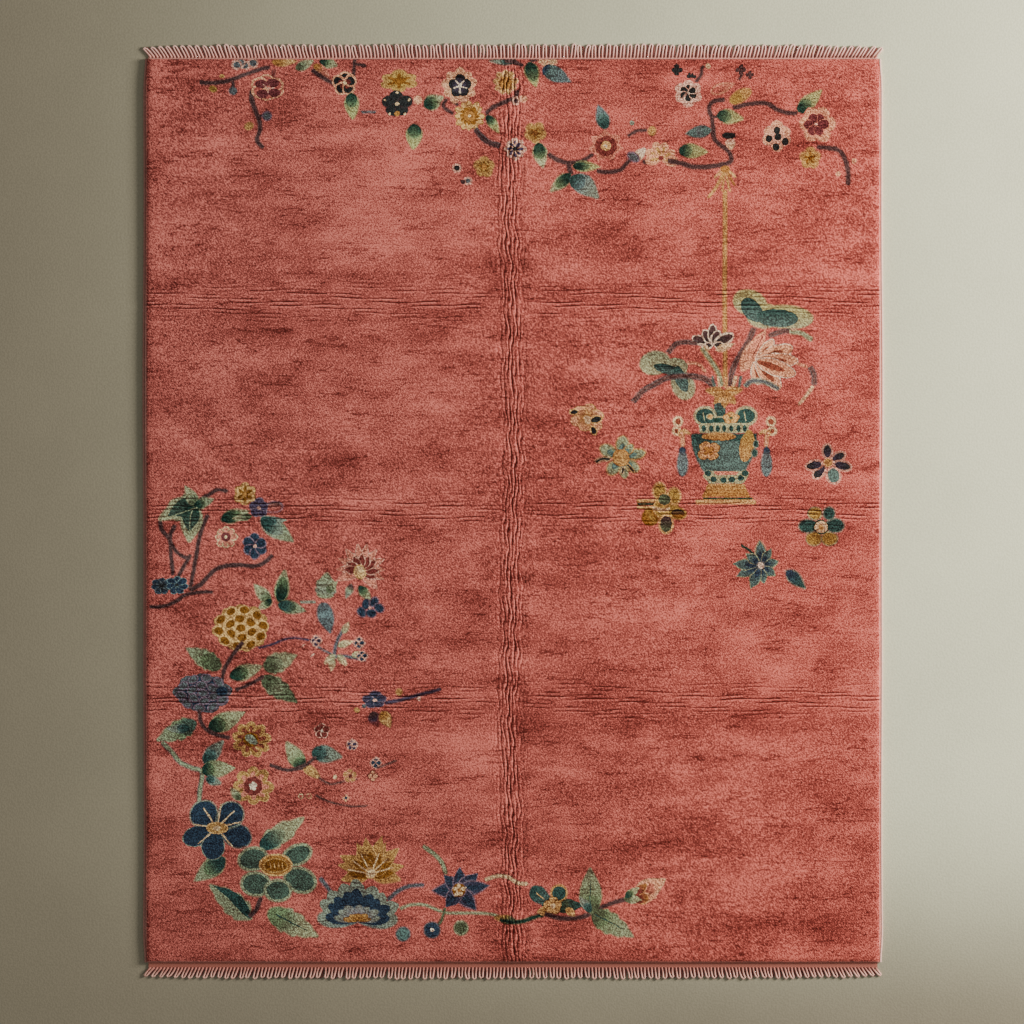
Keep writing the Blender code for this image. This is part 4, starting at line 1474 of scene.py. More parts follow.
        # Worn pile and painted shade: soft patches that make the pile lighter or darker.
        squares = verts[:, :2] / KNOT
        wear_and_shading = sum(patch.strength(squares) for patch in WEAR_AND_SHADING)
        add_attribute(rug, "wear_and_shading", "FLOAT", "POINT", np.where(upper, wear_and_shading, 0.0))
        side_slot = np.zeros(len(faces), dtype=np.int32)
        side_slot[-len(under):] = 1
        walled = sum(len(wall) for wall in walls)
        LOG.info("rug_body: top %d, walls %d, back %d triangles", len(top.faces), walled, len(under))
        self.slots = side_slot
        return rug

    def dress(self, rug: Piece, pile: Material, back: Material) -> None:
        """Puts the pile's finish on the top and sides, and the knotted back's underneath."""
        rug.data.materials.append(pile)
        rug.data.materials.append(back)
        rug.data.polygons.foreach_set("material_index", self.slots)


@dataclass
class SideCord:
    """An overcast cord: wool wrapped round the outermost warps, a ridge to each wrap."""

    name: str
    side: int  # -1 for left, 1 for right
    relief: Relief
    wrap_pitch: float = 0.0050
    ridge: float = 0.0005
    sides: int = 12

    def build(self) -> Piece:
        """Sweeps a ring along the rug's edge; its radius swells and shrinks with each slanting wrap.

        Returns:
            The cord.
        """
        rng = np.random.default_rng(20 + self.side)
        y = np.arange(PILE_Y0, PILE_Y1, self.wrap_pitch / 3.0)
        angle = np.linspace(0.0, 2.0 * math.pi, self.sides, endpoint=False)
        wraps = int((PILE_Y1 - PILE_Y0) / self.wrap_pitch) + 3
        turns = (y[:, None] - PILE_Y0) / self.wrap_pitch + 0.35 * np.sin(angle)[None, :]
        wrap = np.clip(turns.astype(int) + 1, 0, wraps - 1)
        fat = rng.uniform(-0.00025, 0.00025, wraps)[wrap]
        radius = CORD_DIAMETER / 2.0 - self.ridge * (0.5 + 0.5 * np.cos(2.0 * math.pi * turns)) + fat - 0.0002
        middle = self.side * (WIDTH / 2.0 - CORD_DIAMETER / 2.0 + self.relief.edge_offset(y))
        x = middle[:, None] + self.side * radius * np.cos(angle)
        z = CORD_DIAMETER / 2.0 + radius * np.sin(angle)
        grid = np.stack([x, np.broadcast_to(y[:, None], x.shape), np.maximum(z, 0.0)], axis=-1)
        faces = tube_faces(len(y), self.sides)
        if self.side > 0:
            faces = [face[::-1] for face in faces]
        cord = mesh_object(self.name, grid.reshape(-1, 3), faces)
        shade = rng.uniform(0.0, 1.0, wraps)[wrap]
        add_attribute(cord, "shade", "FLOAT", "POINT", shade)
        add_uv(cord, np.stack([turns.ravel(), np.tile(angle / (2.0 * math.pi), len(y))], axis=-1))
        return cord


@dataclass
class WovenEnd:
    """An end of the rug: the flat-woven web, and the warp loops that stand out of it."""

    where: str  # top or bottom
    end: int  # 1 at the top, -1 at the bottom
    web: float
    reach: float  # of the fringe beyond the web
    seed: int
    legs: int = 208
    yarn: float = 0.0066  # a leg's width
    lean: float = math.radians(22)
    corner_lean: float = math.radians(43)
    corner_power: int = 10

    @property
    def inner(self) -> float:
        """The y of the web's inner edge."""
        return PILE_Y1 + GAP if self.end > 0 else PILE_Y0 - GAP

    def build_web(self) -> Piece:
        """A plain-woven strip, its face a + b cos(pi i) cos(pi j) over warps i and wefts j.

        Returns:
            The web.
        """
        half = WIDTH / 2.0 - WEB_INSET
        warps = 2 * self.legs + 1
        wefts = max(3, round(self.web / 0.0022))
        i, j = np.meshgrid(np.arange(warps), np.arange(wefts))
        x = -half + 2.0 * half * i / (warps - 1)
        fray = np.random.default_rng(self.seed + 40).uniform(-0.0004, 0.0004, warps)
        y = self.inner + self.end * (self.web + fray[i] * (j == wefts - 1)) * j / (wefts - 1)
        weave = np.where((i + j) % 2 == 0, 0.0005, -0.0005)
        top = WEB_THICKNESS - 0.0007 + weave
        upper = np.stack([x, y, top], axis=-1).reshape(-1, 3)
        lower = np.stack([x, y, np.zeros_like(x)], axis=-1).reshape(-1, 3)
        cell = (np.arange(wefts - 1)[:, None] * warps + np.arange(warps - 1)[None, :]).reshape(-1, 1)
        quad = cell + np.array([0, 1, warps + 1, warps])
        size = warps * wefts
        rim = np.concatenate([np.arange(warps), np.arange(1, wefts) * warps + warps - 1,
                              np.arange(warps - 2, -1, -1) + (wefts - 1) * warps,
                              np.arange(wefts - 2, 0, -1) * warps])
        following = np.roll(rim, -1)
        wall = np.stack([rim + size, following + size, following, rim], axis=-1)
        faces = np.concatenate([quad, quad[:, ::-1] + size, wall])
        if self.end < 0:
            faces = faces[:, ::-1]
        web = mesh_object(f"end_web_{self.where}", np.concatenate([upper, lower]), faces, smooth=False)
        add_uv(web, np.tile(np.stack([i.ravel() / 2.0, j.ravel() / 2.0], axis=-1), (2, 1)))
        return web

    def build_fringe(self) -> Piece:
        """Warp loops: each leg runs out, turns, and comes back as its neighbour.

        A loop is a tube of plied yarn along a path of two straight legs and a turn. The ply is a radius of
        1 + 0.16 cos 2(angle - twist), and the path leans outward, more at the corners. Every other loop is
        darker, lies lower and a leg to the side, and so fills the gaps.

        Returns:
            The fringe.
        """
        rng = np.random.default_rng(self.seed)
        half = WIDTH / 2.0 - WEB_INSET
        pitch = 2.0 * half / self.legs
        loops = self.legs - 1
        # Every other loop is darker and lies lower, filling the gaps between the others.
        dark_loop = np.arange(loops) % 2
        root = -half + pitch * (np.arange(loops) + 1.0 - 0.5 * dark_loop)
        share = root / half
        corner = np.sign(share) * np.abs(share) ** self.corner_power
        scatter = rng.normal(0.0, math.radians(2.5), loops) * (1.0 - np.abs(corner))
        lean = self.lean * share + (self.corner_lean - self.lean) * corner + scatter
        spread = pitch / 2.0 * rng.uniform(0.74, 1.0, loops)
        reach = self.reach - self.yarn * 0.75 - rng.uniform(0.0, 0.0050, loops) - 0.004 * dark_loop
        out = np.array([-0.08, 0.3, 0.66, 1.0, 1.0, 1.0, 0.66, 0.3, -0.08])
        bow = np.array([0.0, 0.0, 0.0, 0.0, 1.0, 0.0, 0.0, 0.0, 0.0])
        sway = np.array([-1.0, -1.0, -1.0, -1.0, 0.0, 1.0, 1.0, 1.0, 1.0])
        rise = np.array([0.9, 0.3, 0.0, 0.0, 0.0, 0.0, 0.0, 0.3, 0.9])
        stray = rng.normal(0.0, 0.0010, (loops, 1)) * np.sin(math.pi * np.clip(out, 0.0, 1.0))
        wide = pitch / 2.0 + (spread[:, None] - pitch / 2.0) * np.clip(out, 0.0, 1.0)
        across = wide * sway + stray
        along = out * reach[:, None] + bow * spread[:, None] * 0.9
        x = root[:, None] + across + along * np.sin(lean)[:, None]
        y = self.inner + self.end * (self.web - 0.001 + along * np.cos(lean)[:, None])
        lift = rng.uniform(0.0, 0.0008, (loops, 1)) * np.sin(math.pi * np.clip(out, 0.0, 1.0))
        z = self.yarn * (0.46 - 0.22 * dark_loop[:, None]) + rise * 0.0005 + lift
        centre = np.stack([x, y, z], axis=-1)
        along_path = np.gradient(centre, axis=1)
        along_path /= np.linalg.norm(along_path, axis=-1, keepdims=True)
        side = np.cross(along_path, np.array([0.0, 0.0, 1.0]))
        side /= np.linalg.norm(side, axis=-1, keepdims=True)
        over = np.cross(side, along_path)
        sides, stations = 5, len(out)
        angle = np.linspace(0.0, 2.0 * math.pi, sides, endpoint=False)
        ply = 1.0 + 0.16 * np.cos(2.0 * (angle - 0.9 * np.arange(stations)[:, None]))
        size = (self.yarn / 2.0 * ply)[None, :, :, None]
        verts = centre[:, :, None, :] + size * (np.cos(angle)[:, None] * side[:, :, None, :]
                                                + 0.82 * np.sin(angle)[:, None] * over[:, :, None, :])
        verts[..., 2] = np.maximum(verts[..., 2], 0.0)
        one = tube_faces(stations, sides)
        block = stations * sides
        faces = [[index + block * k for index in face] for k in range(loops) for face in one]
        fringe = mesh_object(f"warp_fringe_{self.where}", verts.reshape(-1, 3), faces)
        tipped = np.clip(along / reach[:, None], 0.0, 1.0)
        add_attribute(fringe, "tip", "FLOAT", "POINT", np.repeat(tipped.ravel(), sides))
        add_attribute(fringe, "dark_loop", "FLOAT", "POINT", np.repeat(dark_loop, block))
        turn = np.broadcast_to(angle / (2.0 * math.pi), (loops, stations, sides))
        length = np.broadcast_to(np.arange(stations)[:, None] * 0.8, turn.shape)
        add_uv(fringe, np.stack([length, turn], axis=-1).reshape(-1, 2))
        return fringe


# ---------------------------------------------------------------- finishes


class Graph:
    """A node tree with short calls to add and link its nodes."""

    def __init__(self, tree: Tree) -> None:
        """Wraps a tree."""
        self.tree = tree

    def feed(self, node: bpy.types.Node, inputs: dict[str | int, object]) -> None:
        """Links sockets to a node's inputs, or sets the inputs' own values.

        Args:
            node: The node.
            inputs: Values or sockets, by the input's name or number.
        """
        for key, value in inputs.items():
            if isinstance(value, Socket):
                self.tree.links.new(value, node.inputs[key])
            else:
                node.inputs[key].default_value = value

    def add(self, kind: str, inputs: dict[str | int, object] | None = None, out: str | int = 0,
            **settings: object) -> Socket:
        """Adds a node.

        Args:
            kind: Its type, without the ShaderNode in front.
            inputs: Values or sockets for its inputs.
            out: Which output to give back.
            **settings: The node's own settings.

        Returns:
            The output socket.
        """
        node = self.tree.nodes.new(f"ShaderNode{kind}")
        for key, value in settings.items():
            setattr(node, key, value)
        self.feed(node, inputs or {})
        return node.outputs[out]

    def math(self, operation: str, *values: Socket | float) -> Socket:
        """A Math node on its values."""
        return self.add("Math", dict(enumerate(values)), operation=operation)

    def plus(self, a: Socket | float, b: Socket | float) -> Socket:
        """The sum of two values."""
        return self.math("ADD", a, b)

    def times(self, a: Socket | float, b: Socket | float) -> Socket:
        """The product of two values."""
        return self.math("MULTIPLY", a, b)

    def axis(self, vector: Socket, number: int) -> Socket:
        """One of a vector's three values."""
        return self.add("SeparateXYZ", {0: vector}, number)

    def stored(self, name: str, out: str = "Fac") -> Socket:
        """An attribute stored on the mesh."""
        return self.add("Attribute", out=out, attribute_name=name)

    def noise(self, vector: Socket, scale: float, detail: float = 2.0, roughness: float = 0.5,
              distortion: float = 0.0) -> Socket:
        """A Noise texture's value."""
        return self.add("TexNoise", {"Vector": vector, "Scale": scale, "Detail": detail,
                                     "Roughness": roughness, "Distortion": distortion})

    def drawn_out(self, vector: Socket, scale: Sequence[float], offset: Sequence[float] = (0.0, 0.0, 0.0),
                  detail: float = 1.0, roughness: float = 0.5, distortion: float = 0.0) -> Socket:
        """Noise whose grains are longer one way, in coordinates scaled by axis and moved."""
        moved = self.add("Mapping", {"Vector": vector, "Location": offset, "Scale": scale})
        return self.noise(moved, 1.0, detail, roughness, distortion)

    def spread(self, value: Socket, low: float, high: float, to_low: float = 0.0,
               to_high: float = 1.0) -> Socket:
        """A value mapped from one range to another, clamped and eased at both ends."""
        return self.add("MapRange", {"Value": value, "From Min": low, "From Max": high, "To Min": to_low,
                                     "To Max": to_high}, interpolation_type="SMOOTHSTEP")

    def mix(self, factor: Socket | float, a: object, b: object, blend: str = "MIX") -> Socket:
        """A colour mix."""
        return self.add("Mix", {0: factor, 6: a, 7: b}, 2, data_type="RGBA", blend_type=blend)

    def bump(self, height: Socket, distance: float, strength: float) -> Socket:
        """A normal from a height."""
        return self.add("Bump", {"Height": height, "Distance": distance, "Strength": strength})

    def effect(self, tree: Tree, inputs: dict[str | int, object]) -> bpy.types.NodeOutputs:
        """Places a shared effect.

        Args:
            tree: The effect.
            inputs: Values or sockets for its inputs.

        Returns:
            Its outputs.
        """
        node = self.tree.nodes.new("ShaderNodeGroup")
        node.node_tree = tree
        self.feed(node, inputs)
        return node.outputs


def start_effect(name: str, inputs: dict[str, float | None], outputs: tuple[str, ...]) -> tuple[
        Graph, bpy.types.NodeOutputs, bpy.types.Node]:
    """Starts a shared node group.

    Args:
        name: The effect's name.
        inputs: Its inputs with their values, None for a vector.
        outputs: Names of its outputs, all values.

    Returns:
        Its graph, what its input node gives, and its output node.
    """
    tree = bpy.data.node_groups.new(name, "ShaderNodeTree")
    for key, value in inputs.items():
        kind = "NodeSocketVector" if value is None else "NodeSocketFloat"
        socket = tree.interface.new_socket(key, in_out="INPUT", socket_type=kind)
        if value is not None:
            socket.default_value = value
    for key in outputs:
        tree.interface.new_socket(key, in_out="OUTPUT", socket_type="NodeSocketFloat")
    return Graph(tree), tree.nodes.new("NodeGroupInput").outputs, tree.nodes.new("NodeGroupOutput")


def wool_grain_and_shading() -> Tree:
    """Tufts of yarn seen end on, leaning down to the right, their tone partly painted shade between the
    tufts, with fine specks of lit tips that are painted highlights.

    Tone is centred on 0. Height is the same, for relief.
    """
    graph, source, sink = start_effect("WoolGrainAndShading", {"Vector": None}, ("Tone", "Height"))
    lean = graph.add("VectorRotate", {"Vector": source["Vector"], "Angle": math.radians(45.0)},
                     rotation_type="Z_AXIS")
    tuft = graph.drawn_out(lean, (165.0, 290.0, 200.0), roughness=0.6)
    # Painted highlights: fine specks on lit tuft tips.
    speck = graph.drawn_out(lean, (380.0, 420.0, 300.0), (1.0, 5.0, 2.0))
    tone = graph.math("SUBTRACT", graph.plus(graph.times(tuft, 0.62), graph.times(speck, 0.38)), 0.5)
    graph.feed(sink, {"Tone": tone, "Height": tone})
    return graph.tree


def abrash_and_shading() -> Tree:
    """Uneven dyeing and brushing, with painted light: broad clouds, bands across the rug, fine streaks,
    pale wisps and dark cracks.

    Cloud is centred on 0. Streak and the other two run from 0 to 1: fine streaks, pale threads that are
    painted highlights, and short dark cracks that are painted shade in the pile, all lying across the rug.
    """
    graph, source, sink = start_effect("AbrashAndShading", {"Vector": None}, ("Cloud", "Streak", "WispHighlight", "CreviceShade"))
    place = source["Vector"]
    broad = graph.drawn_out(place, (4.5, 7.0, 1.0), detail=5.0, roughness=0.68, distortion=0.3)
    band = graph.drawn_out(place, (1.6, 15.0, 1.0), (3.0, 1.0, 0.0), 3.0, 0.55)
    cloud = graph.math("SUBTRACT", graph.plus(graph.times(broad, 0.68), graph.times(band, 0.32)), 0.5)
    streak = graph.spread(graph.drawn_out(place, (7.0, 120.0, 1.0), detail=2.0, roughness=0.6), 0.36, 0.64)
    where = graph.spread(graph.drawn_out(place, (1.6, 7.0, 1.0), (9.0, 4.0, 0.0), 2.0), 0.50, 0.66)
    # Painted highlights: thin pale threads across the rug.
    thread = graph.drawn_out(place, (9.0, 230.0, 1.0), (2.0, 8.0, 0.0))
    wisp_highlight = graph.times(graph.spread(thread, 0.62, 0.72), where)
    # Painted shade: short dark cracks in the pile.
    crack = graph.drawn_out(place, (8.0, 62.0, 1.0), (5.0, 2.0, 0.0), distortion=0.25)
    off = graph.math("ABSOLUTE", graph.math("SUBTRACT", crack, 0.5))
    some = graph.spread(graph.drawn_out(place, (5.0, 24.0, 1.0), (1.0, 6.0, 0.0), 2.0), 0.47, 0.58)
    crevice_shade = graph.times(graph.spread(off, 0.0, 0.042, 1.0, 0.0), some)
    graph.feed(sink, {"Cloud": cloud, "Streak": streak, "WispHighlight": wisp_highlight, "CreviceShade": crevice_shade})
    return graph.tree


def yarn_ply() -> Tree:
    """Fibres along a yarn, from its UV map: Tone is their light and dark, Height their relief."""
    graph, source, sink = start_effect("YarnPly", {"Vector": None, "Fibres": 9.0}, ("Tone", "Height"))
    along, round_it = (graph.axis(source["Vector"], number) for number in (0, 1))
    slanted = graph.plus(round_it, graph.times(along, 0.5))
    packed = graph.add("CombineXYZ", {0: graph.times(along, 2.0), 1: graph.times(slanted, source["Fibres"])})
    fibre = graph.noise(packed, 1.0, 3.0, 0.6)
    graph.feed(sink, {"Tone": graph.spread(fibre, 0.3, 0.7), "Height": fibre})
    return graph.tree


def new_material(name: str) -> tuple[Material, Graph, bpy.types.Node]:
    """Starts a material.

    Args:
        name: Its name.

    Returns:
        The material, its graph and its Principled BSDF.
    """
    mat = bpy.data.materials.new(name)
    mat.use_nodes = True
    return mat, Graph(mat.node_tree), mat.node_tree.nodes["Principled BSDF"]


@dataclass(frozen=True)
class PileFinish:
    """Cut wool pile: matt, grained and unevenly dyed, with crushed patches and painted shade and highlights.
    """

    grain_and_shading: Tree
    uneven: Tree
    roughness: float = 0.95
    sheen: float = 0.05
    bump: float = 0.0016
    tuft_stops: float = 11.5
    cloud_stops: float = 5.6
    streak_stops: float = 0.16
    wisp_highlight_stops: float = 0.34
    wear_and_shading_stops: float = 0.55
    crevice_shade_stops: float = 1.2
    # Painted shade on the folds' lines and painted highlights beside them, in stops.
    fold_shade_stops: float = 3.3
    ridge_highlight_stops: float = 1.3
    ridge_highlight_place: float = 0.36  # how far a fold's painted highlight lies beside its painted shade line
    depth_of_hue: tuple[float, float, float] = (0.95, 1.18, 1.15)  # darker places, painted shade among them, are redder; lighter ones, painted highlights among them, paler
    rim: Rgba = (0.80, 0.47, 0.39, 1.0)  # painted highlight: pale colour on the outermost tufts along all four edges
    rim_share: float = 0.55
    highlight_across: tuple[float, float] = (1.2110, 1.2175)  # where the painted highlight starts and is full, off the middle
    highlight_along: tuple[float, float] = (1.4920, 1.4965)
    middle_y: float = 0.0055
    least_stops: float = -2.6
    most_stops: float = 1.2
    sheen_tint: Rgba = (1.0, 0.82, 0.78, 1.0)
    shade_side: Rgba = (1.0, 1.05, 1.08, 1.0)  # painted shade: the hue of the shaded left
    light_side: Rgba = (1.0, 0.87, 0.84, 1.0)  # painted light: the hue of the lit right
    hue_reach: float = 1.2  # how far off the middle these hues are full
    fold_line: float = 0.27  # half width of a fold's painted shade line, as a share of the space between two

    def folds(self, graph: Graph) -> Socket:
        """Painted light along the folds, in stops: painted shade on their lines, painted highlights beside
        them.
        """
        total = None
        for axis in (0, 1):
            number, depth = (graph.axis(graph.stored(name, "Vector"), axis) for name in ("groove", "depth"))
            to_line = graph.math("PINGPONG", number, 0.5)
            dark = graph.spread(to_line, 0.0, self.fold_line, -self.fold_shade_stops, 0.0)
            beside = graph.math("PINGPONG", graph.plus(number, self.ridge_highlight_place), 0.5)
            ridge = graph.spread(beside, 0.0, self.fold_line, self.ridge_highlight_stops, 0.0)
            change = graph.times(graph.plus(dark, ridge), depth)
            total = graph.plus(total, change) if total else change
        return total

    def material(self) -> Material:
        """Builds the pile's material: its stored dye times 2 to the power of all the changes in stops.

        Returns:
            The material.
        """
        mat, graph, shader = new_material("wool_pile")
        coords = graph.add("TexCoord", out="Object")
        grain_and_shading = graph.effect(self.grain_and_shading, {"Vector": coords})
        uneven = graph.effect(self.uneven, {"Vector": coords})
        level = self.folds(graph)
        # Changes in stops: the tufts' tone with its painted shade and highlights, uneven dye, worn pile and
        # painted shade patches, pale threads as painted highlights, dark cracks as painted shade.
        for value, stops in ((grain_and_shading["Tone"], self.tuft_stops), (uneven["Cloud"], self.cloud_stops),
                             (uneven["Streak"], self.streak_stops), (graph.stored("wear_and_shading"), self.wear_and_shading_stops),
                             (uneven["WispHighlight"], self.wisp_highlight_stops), (uneven["CreviceShade"], -self.crevice_shade_stops)):
            level = graph.plus(level, graph.times(value, stops))
        level = graph.math("MAXIMUM", graph.math("MINIMUM", level, self.most_stops), self.least_stops)
        # Painted light and shade: the dye is tinted from the shaded left's hue to the lit right's.
        side = graph.spread(graph.axis(coords, 0), -self.hue_reach, self.hue_reach)
        painted_light_hue = graph.mix(side, self.shade_side, self.light_side)
        colour = graph.mix(1.0, graph.stored("dye", "Color"), painted_light_hue, "MULTIPLY")
        change = graph.add("CombineXYZ", {axis: graph.math("POWER", 2.0, graph.times(level, share))
                                          for axis, share in enumerate(self.depth_of_hue)})
        colour = graph.add("VectorMath", {0: colour, 1: change}, operation="MULTIPLY")
        # Painted highlight: the outermost band of pile on all four sides is mixed towards the pale rim
        # colour.
        x = graph.math("ABSOLUTE", graph.axis(coords, 0))
        y = graph.math("ABSOLUTE", graph.math("SUBTRACT", graph.axis(coords, 1), self.middle_y))
        edge = graph.math("MAXIMUM", graph.spread(x, *self.highlight_across), graph.spread(y, *self.highlight_along))
        graph.feed(shader, {"Base Color": graph.mix(graph.times(edge, self.rim_share), colour, self.rim),
                            "Roughness": self.roughness, "Specular IOR Level": 0.05,
                            "Sheen Weight": self.sheen, "Sheen Roughness": 0.5,
                            "Sheen Tint": self.sheen_tint,
                            "Normal": graph.bump(grain_and_shading["Height"], self.bump, 0.6)})
        return mat


@dataclass(frozen=True)
class BackFinish:
    """The back of the knots: the same dyes, paler, in rows of nubs one to a knot."""

    knot: float = KNOT
    roughness: float = 0.9

    def material(self) -> Material:
        """Builds the back's material: nubs are sin(pi x / knot) sin(pi y / knot), squared.

        Returns:
            The material.
        """
        mat, graph, shader = new_material("knotted_back")
        coords = graph.add("TexCoord", out="Object")
        dye = graph.stored("dye", "Color")
        waves = (graph.math("SINE", graph.times(graph.axis(coords, axis), math.pi / self.knot))
                 for axis in (0, 1))
        nub = graph.times(*(graph.math("POWER", wave, 2.0) for wave in waves))
        share = graph.plus(graph.times(nub, 0.45), graph.times(graph.noise(coords, 30.0, 3.0), 0.5))
        dark = graph.mix(1.0, dye, (0.55, 0.50, 0.50, 1.0), "MULTIPLY")
        pale = graph.mix(0.22, dye, (0.55, 0.42, 0.34, 1.0))
        graph.feed(shader, {"Base Color": graph.mix(share, dark, pale), "Roughness": self.roughness,
                            "Normal": graph.bump(nub, 0.0012, 0.8)})
        return mat


@dataclass(frozen=True)
class CordFinish:
    """Overcast wool, each wrap its own shade, with painted shade in the grooves between."""

    name: str
    ply: Tree
    light: Rgba
    dark: Rgba
    roughness: float = 0.85

    def material(self) -> Material:
        """Builds the cord's material from its UV map, whose u counts the wraps.

        Returns:
            The material.
        """
        mat, graph, shader = new_material(self.name)
        uv = graph.add("TexCoord", out="UV")
        ply = graph.effect(self.ply, {"Vector": uv, "Fibres": 14.0})
        # Painted shade: each groove between wraps is mixed towards dark red.
        groove = graph.spread(graph.math("COSINE", graph.times(graph.axis(uv, 0), 2.0 * math.pi)), 0.55, 1.0)
        tone = graph.plus(graph.times(ply["Tone"], 0.55), graph.times(graph.stored("shade"), 0.45))
        body = graph.mix(tone, self.dark, self.light)
        graph.feed(shader, {"Base Color": graph.mix(graph.times(groove, 0.25), body, (0.16, 0.04, 0.03, 1.0)),
                            "Roughness": self.roughness, "Sheen Weight": 0.2,
                            "Normal": graph.bump(ply["Height"], 0.0008, 0.6)})
        return mat


@dataclass(frozen=True)
class WarpFinish:
    """Plied cotton warp, tinted by the pile's dye, paler at the tips of its loops, every other loop darker.
    """

    where: str
    ply: Tree
    root: Rgba
    end: Rgba
    dark_loop_colour: Rgba
    roughness: float = 0.85

    def material(self) -> Material:
        """Builds the fringe's material.

        Returns:
            The material.
        """
        mat, graph, shader = new_material(f"cotton_warp_{self.where}")
        uv = graph.add("TexCoord", out="UV")
        ply = graph.effect(self.ply, {"Vector": uv, "Fibres": 10.0})
        share = graph.plus(graph.times(graph.stored("tip"), 0.7), graph.times(ply["Tone"], 0.35))
        colour = graph.mix(graph.spread(share, 0.0, 1.0), self.root, self.end)
        graph.feed(shader, {"Base Color": graph.mix(graph.stored("dark_loop"), colour, self.dark_loop_colour),
                            "Roughness": self.roughness, "Sheen Weight": 0.1,
                            "Normal": graph.bump(ply["Height"], 0.0006, 0.6)})
        return mat


@dataclass(frozen=True)
class WebFinish:
    """The woven end web: cotton wefts over and under the warps, tinted by the pile's dye, with painted shade
    where they sink.
    """

    where: str
    raised: Rgba
    sunk: Rgba
    roughness: float = 0.9

    def material(self) -> Material:
        """Builds the web's material from its UV map, whose units are a warp and a weft.

        Returns:
            The material.
        """
        mat, graph, shader = new_material(f"woven_web_{self.where}")
        uv = graph.add("TexCoord", out="UV")
        waves = (graph.math("COSINE", graph.times(graph.axis(uv, axis), 2.0 * math.pi)) for axis in (0, 1))
        # Painted shade: the sunk points of the weave take the darker colour.
        over = graph.plus(graph.times(graph.times(*waves), 0.35), 0.5)
        fibre = graph.drawn_out(uv, (6.0, 5.0, 1.0), detail=3.0)
        share = graph.plus(graph.times(over, 0.6), graph.times(fibre, 0.4))
        graph.feed(shader, {"Base Color": graph.mix(share, self.sunk, self.raised),
                            "Roughness": self.roughness, "Normal": graph.bump(share, 0.0010, 0.7)})
        return mat


@dataclass(frozen=True)
class FloorFinish:
    """Smooth floor with a fine speckle and faint clouds, and painted light: pale to the right, painted shade
    to the left and below.
    """

    pale: Rgba = (0.80, 0.82, 0.57, 1.0)
    painted_shade_colour: Rgba = (0.28, 0.25, 0.172, 1.0)
    roughness: float = 0.8
    painted_light_across: tuple[float, float] = (-2.0, 1.7)  # painted light: from the shaded colour to the pale one
    painted_light_along: tuple[float, float] = (-1.75, -0.9)

    def material(self) -> Material:
        """Builds the floor's material.

        Returns:
            The material.
        """
        mat, graph, shader = new_material("pale_floor")
        coords = graph.add("TexCoord", out="Object")
        # Painted light: the floor's colour runs from a shaded tone at the left and bottom to a pale lit tone
        # at the right.
        light = graph.times(graph.spread(graph.axis(coords, 0), *self.painted_light_across),
                            graph.spread(graph.axis(coords, 1), *self.painted_light_along))
        speck = graph.spread(graph.noise(coords, 150.0, 2.0), 0.30, 0.70)
        share = graph.plus(graph.times(speck, 0.12), graph.times(graph.noise(coords, 2.2, 4.0, 0.6), 0.24))
        lit = graph.mix(light, self.painted_shade_colour, self.pale)
        colour = graph.add("VectorMath", {0: lit, 3: graph.plus(share, 0.82)}, operation="SCALE")
        graph.feed(shader, {"Base Color": colour, "Roughness": self.roughness,
                            "Normal": graph.bump(speck, 0.0006, 0.3)})
        return mat


# ---------------------------------------------------------------- studio


@dataclass(frozen=True)
class Studio:
    """The floor, the soft light from the right, and the camera straight overhead."""

    camera_height: float = 8.018
    camera_x: float = -0.0033
    lens: float = 85.0
    floor_half: float = 14.0
    floor_drop: float = 0.0008
    key_place: tuple[float, float, float] = (7.0, 1.8, 2.7)
    key_aim: tuple[float, float, float] = (0.3, 0.1, 0.0)
    key_size: float = 2.4
    key_power: float = 1144.0
    key_colour: tuple[float, float, float] = (1.0, 0.94, 0.88)
    fill: float = 0.275
    fill_colour: Rgba = (1.0, 0.98, 0.95, 1.0)

    def build_floor(self) -> Piece:
        """A plain square floor just under the rug."""
        h = self.floor_half
        corners = np.array([(-h, -h, 0.0), (h, -h, 0.0), (h, h, 0.0), (-h, h, 0.0)])
        corners[:, 2] = -self.floor_drop
        floor = mesh_object("floor", corners, [[0, 1, 2, 3]], smooth=False)
        floor.data.materials.append(FloorFinish().material())
        return floor

    def light(self) -> None:
        """Adds the key light and the world's even fill."""
        data = bpy.data.lights.new("key", "AREA")
        data.energy = self.key_power
        data.shape = "DISK"
        data.size = self.key_size
        data.color = self.key_colour
        lamp = bpy.data.objects.new("key", data)
        bpy.context.scene.collection.objects.link(lamp)
        lamp.location = self.key_place
        aim = Vector(self.key_aim) - Vector(self.key_place)
        lamp.rotation_euler = aim.to_track_quat("-Z", "Y").to_euler()
        world = bpy.data.worlds.new("studio")
        world.use_nodes = True
        world.node_tree.nodes["Background"].inputs["Color"].default_value = self.fill_colour
        world.node_tree.nodes["Background"].inputs["Strength"].default_value = self.fill
        bpy.context.scene.world = world

    def set_camera(self) -> None:
        """Hangs the camera over the rug, looking straight down, with +Y up in the picture."""
        data = bpy.data.cameras.new("overhead")
        data.lens = self.lens
        data.sensor_width = 36.0
        data.clip_end = 60.0
        camera = bpy.data.objects.new("overhead", data)
        bpy.context.scene.collection.objects.link(camera)
        camera.location = (self.camera_x, 0.0, self.camera_height)
        bpy.context.scene.camera = camera


# ---------------------------------------------------------------- assembly


def hand_over(piece: Piece, slot: str, *nodes: str) -> None:
    """Makes a piece ride on the rug's one body, logs its record's material slot, and hides the fixed nodes it
    replaces.

    Args:
        piece: The piece.
        slot: The record's material slot.
        *nodes: Names of the nodes that it stands for.
    """
    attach(piece, "root")
    if nodes:
        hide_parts(*nodes)
    LOG.info("%s: %d faces, %s", piece.name, len(piece.data.polygons), slot)


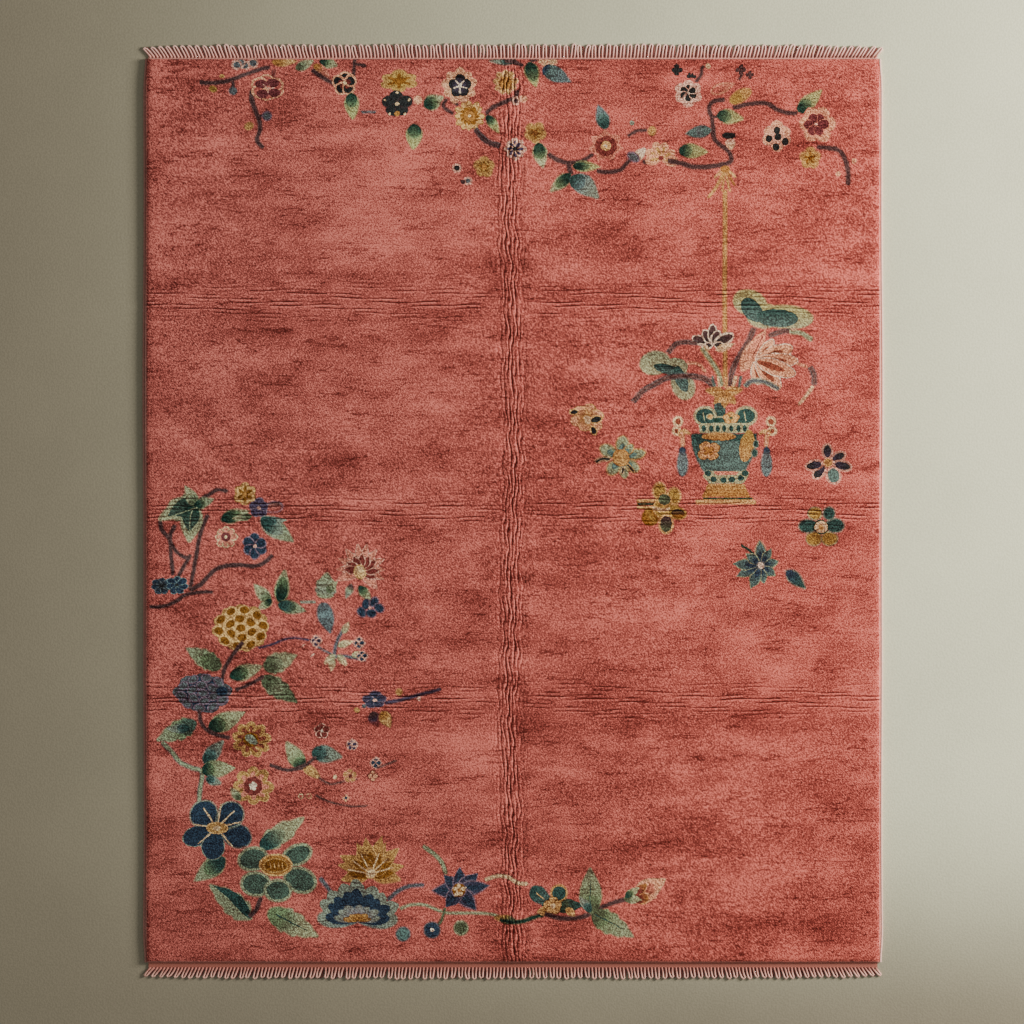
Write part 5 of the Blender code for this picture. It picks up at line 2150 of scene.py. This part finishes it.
def main() -> None:
    """Builds and dresses the rug, and sets the studio round it."""
    logging.basicConfig(level=logging.INFO, format="%(name)s: %(message)s")
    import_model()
    studio = Studio()
    studio.set_camera()
    studio.light()
    studio.build_floor()

    relief = Relief()
    grain_and_shading, uneven, ply = wool_grain_and_shading(), abrash_and_shading(), yarn_ply()
    pile = RugBody(relief)
    rug = pile.build()
    pile.dress(rug, PileFinish(grain_and_shading, uneven).material(), BackFinish().material())
    hand_over(rug, "wool_pile", "rug_pile")

    # Two copies of the cord's finish: a darker one on the left, painted shade, and a paler one on the right,
    # painted light.
    cord_finishes = (CordFinish("cord_wool_painted_shade", ply, (0.50, 0.24, 0.19, 1.0), (0.36, 0.14, 0.11, 1.0)),
                     CordFinish("cord_wool_painted_light", ply, (0.95, 0.62, 0.52, 1.0), (0.85, 0.48, 0.39, 1.0)))
    for (name, side), finish in zip((("selvedge_left", -1), ("selvedge_right", 1)), cord_finishes):
        cord = SideCord(name, side, relief).build()
        cord.data.materials.append(finish.material())
        hand_over(cord, "cord_wool", f"side_cord_{name.removeprefix('selvedge_')}")

    # The top end's web and fringe finishes are paler copies, painted light; the bottom end's are darker
    # copies, painted shade.
    ends = (
        (WovenEnd("top", end=1, web=WEB_TOP + 0.001, reach=FRINGE_LENGTH + 0.008, seed=1),
         WebFinish("top", (1.0, 0.60, 0.50, 1.0), (0.76, 0.33, 0.26, 1.0)),
         WarpFinish("top", ply, (0.76, 0.35, 0.28, 1.0), (0.97, 0.61, 0.51, 1.0), (0.20, 0.05, 0.04, 1.0))),
        (WovenEnd("bottom", end=-1, web=WEB_BOTTOM + 0.0035, reach=FRINGE_LENGTH + 0.002, seed=2),
         WebFinish("bottom", (0.52, 0.19, 0.14, 1.0), (0.33, 0.10, 0.07, 1.0)),
         WarpFinish("bottom", ply, (0.42, 0.12, 0.09, 1.0), (1.0, 0.58, 0.46, 1.0),
                    (0.10, 0.016, 0.012, 1.0))),
    )
    for woven, web_finish, warp_finish in ends:
        for piece, finish in ((woven.build_web(), web_finish), (woven.build_fringe(), warp_finish)):
            piece.data.materials.append(finish.material())
            hand_over(piece, "cotton_warp", f"fringe_{woven.where}")


if __name__ == "__main__":
    main()
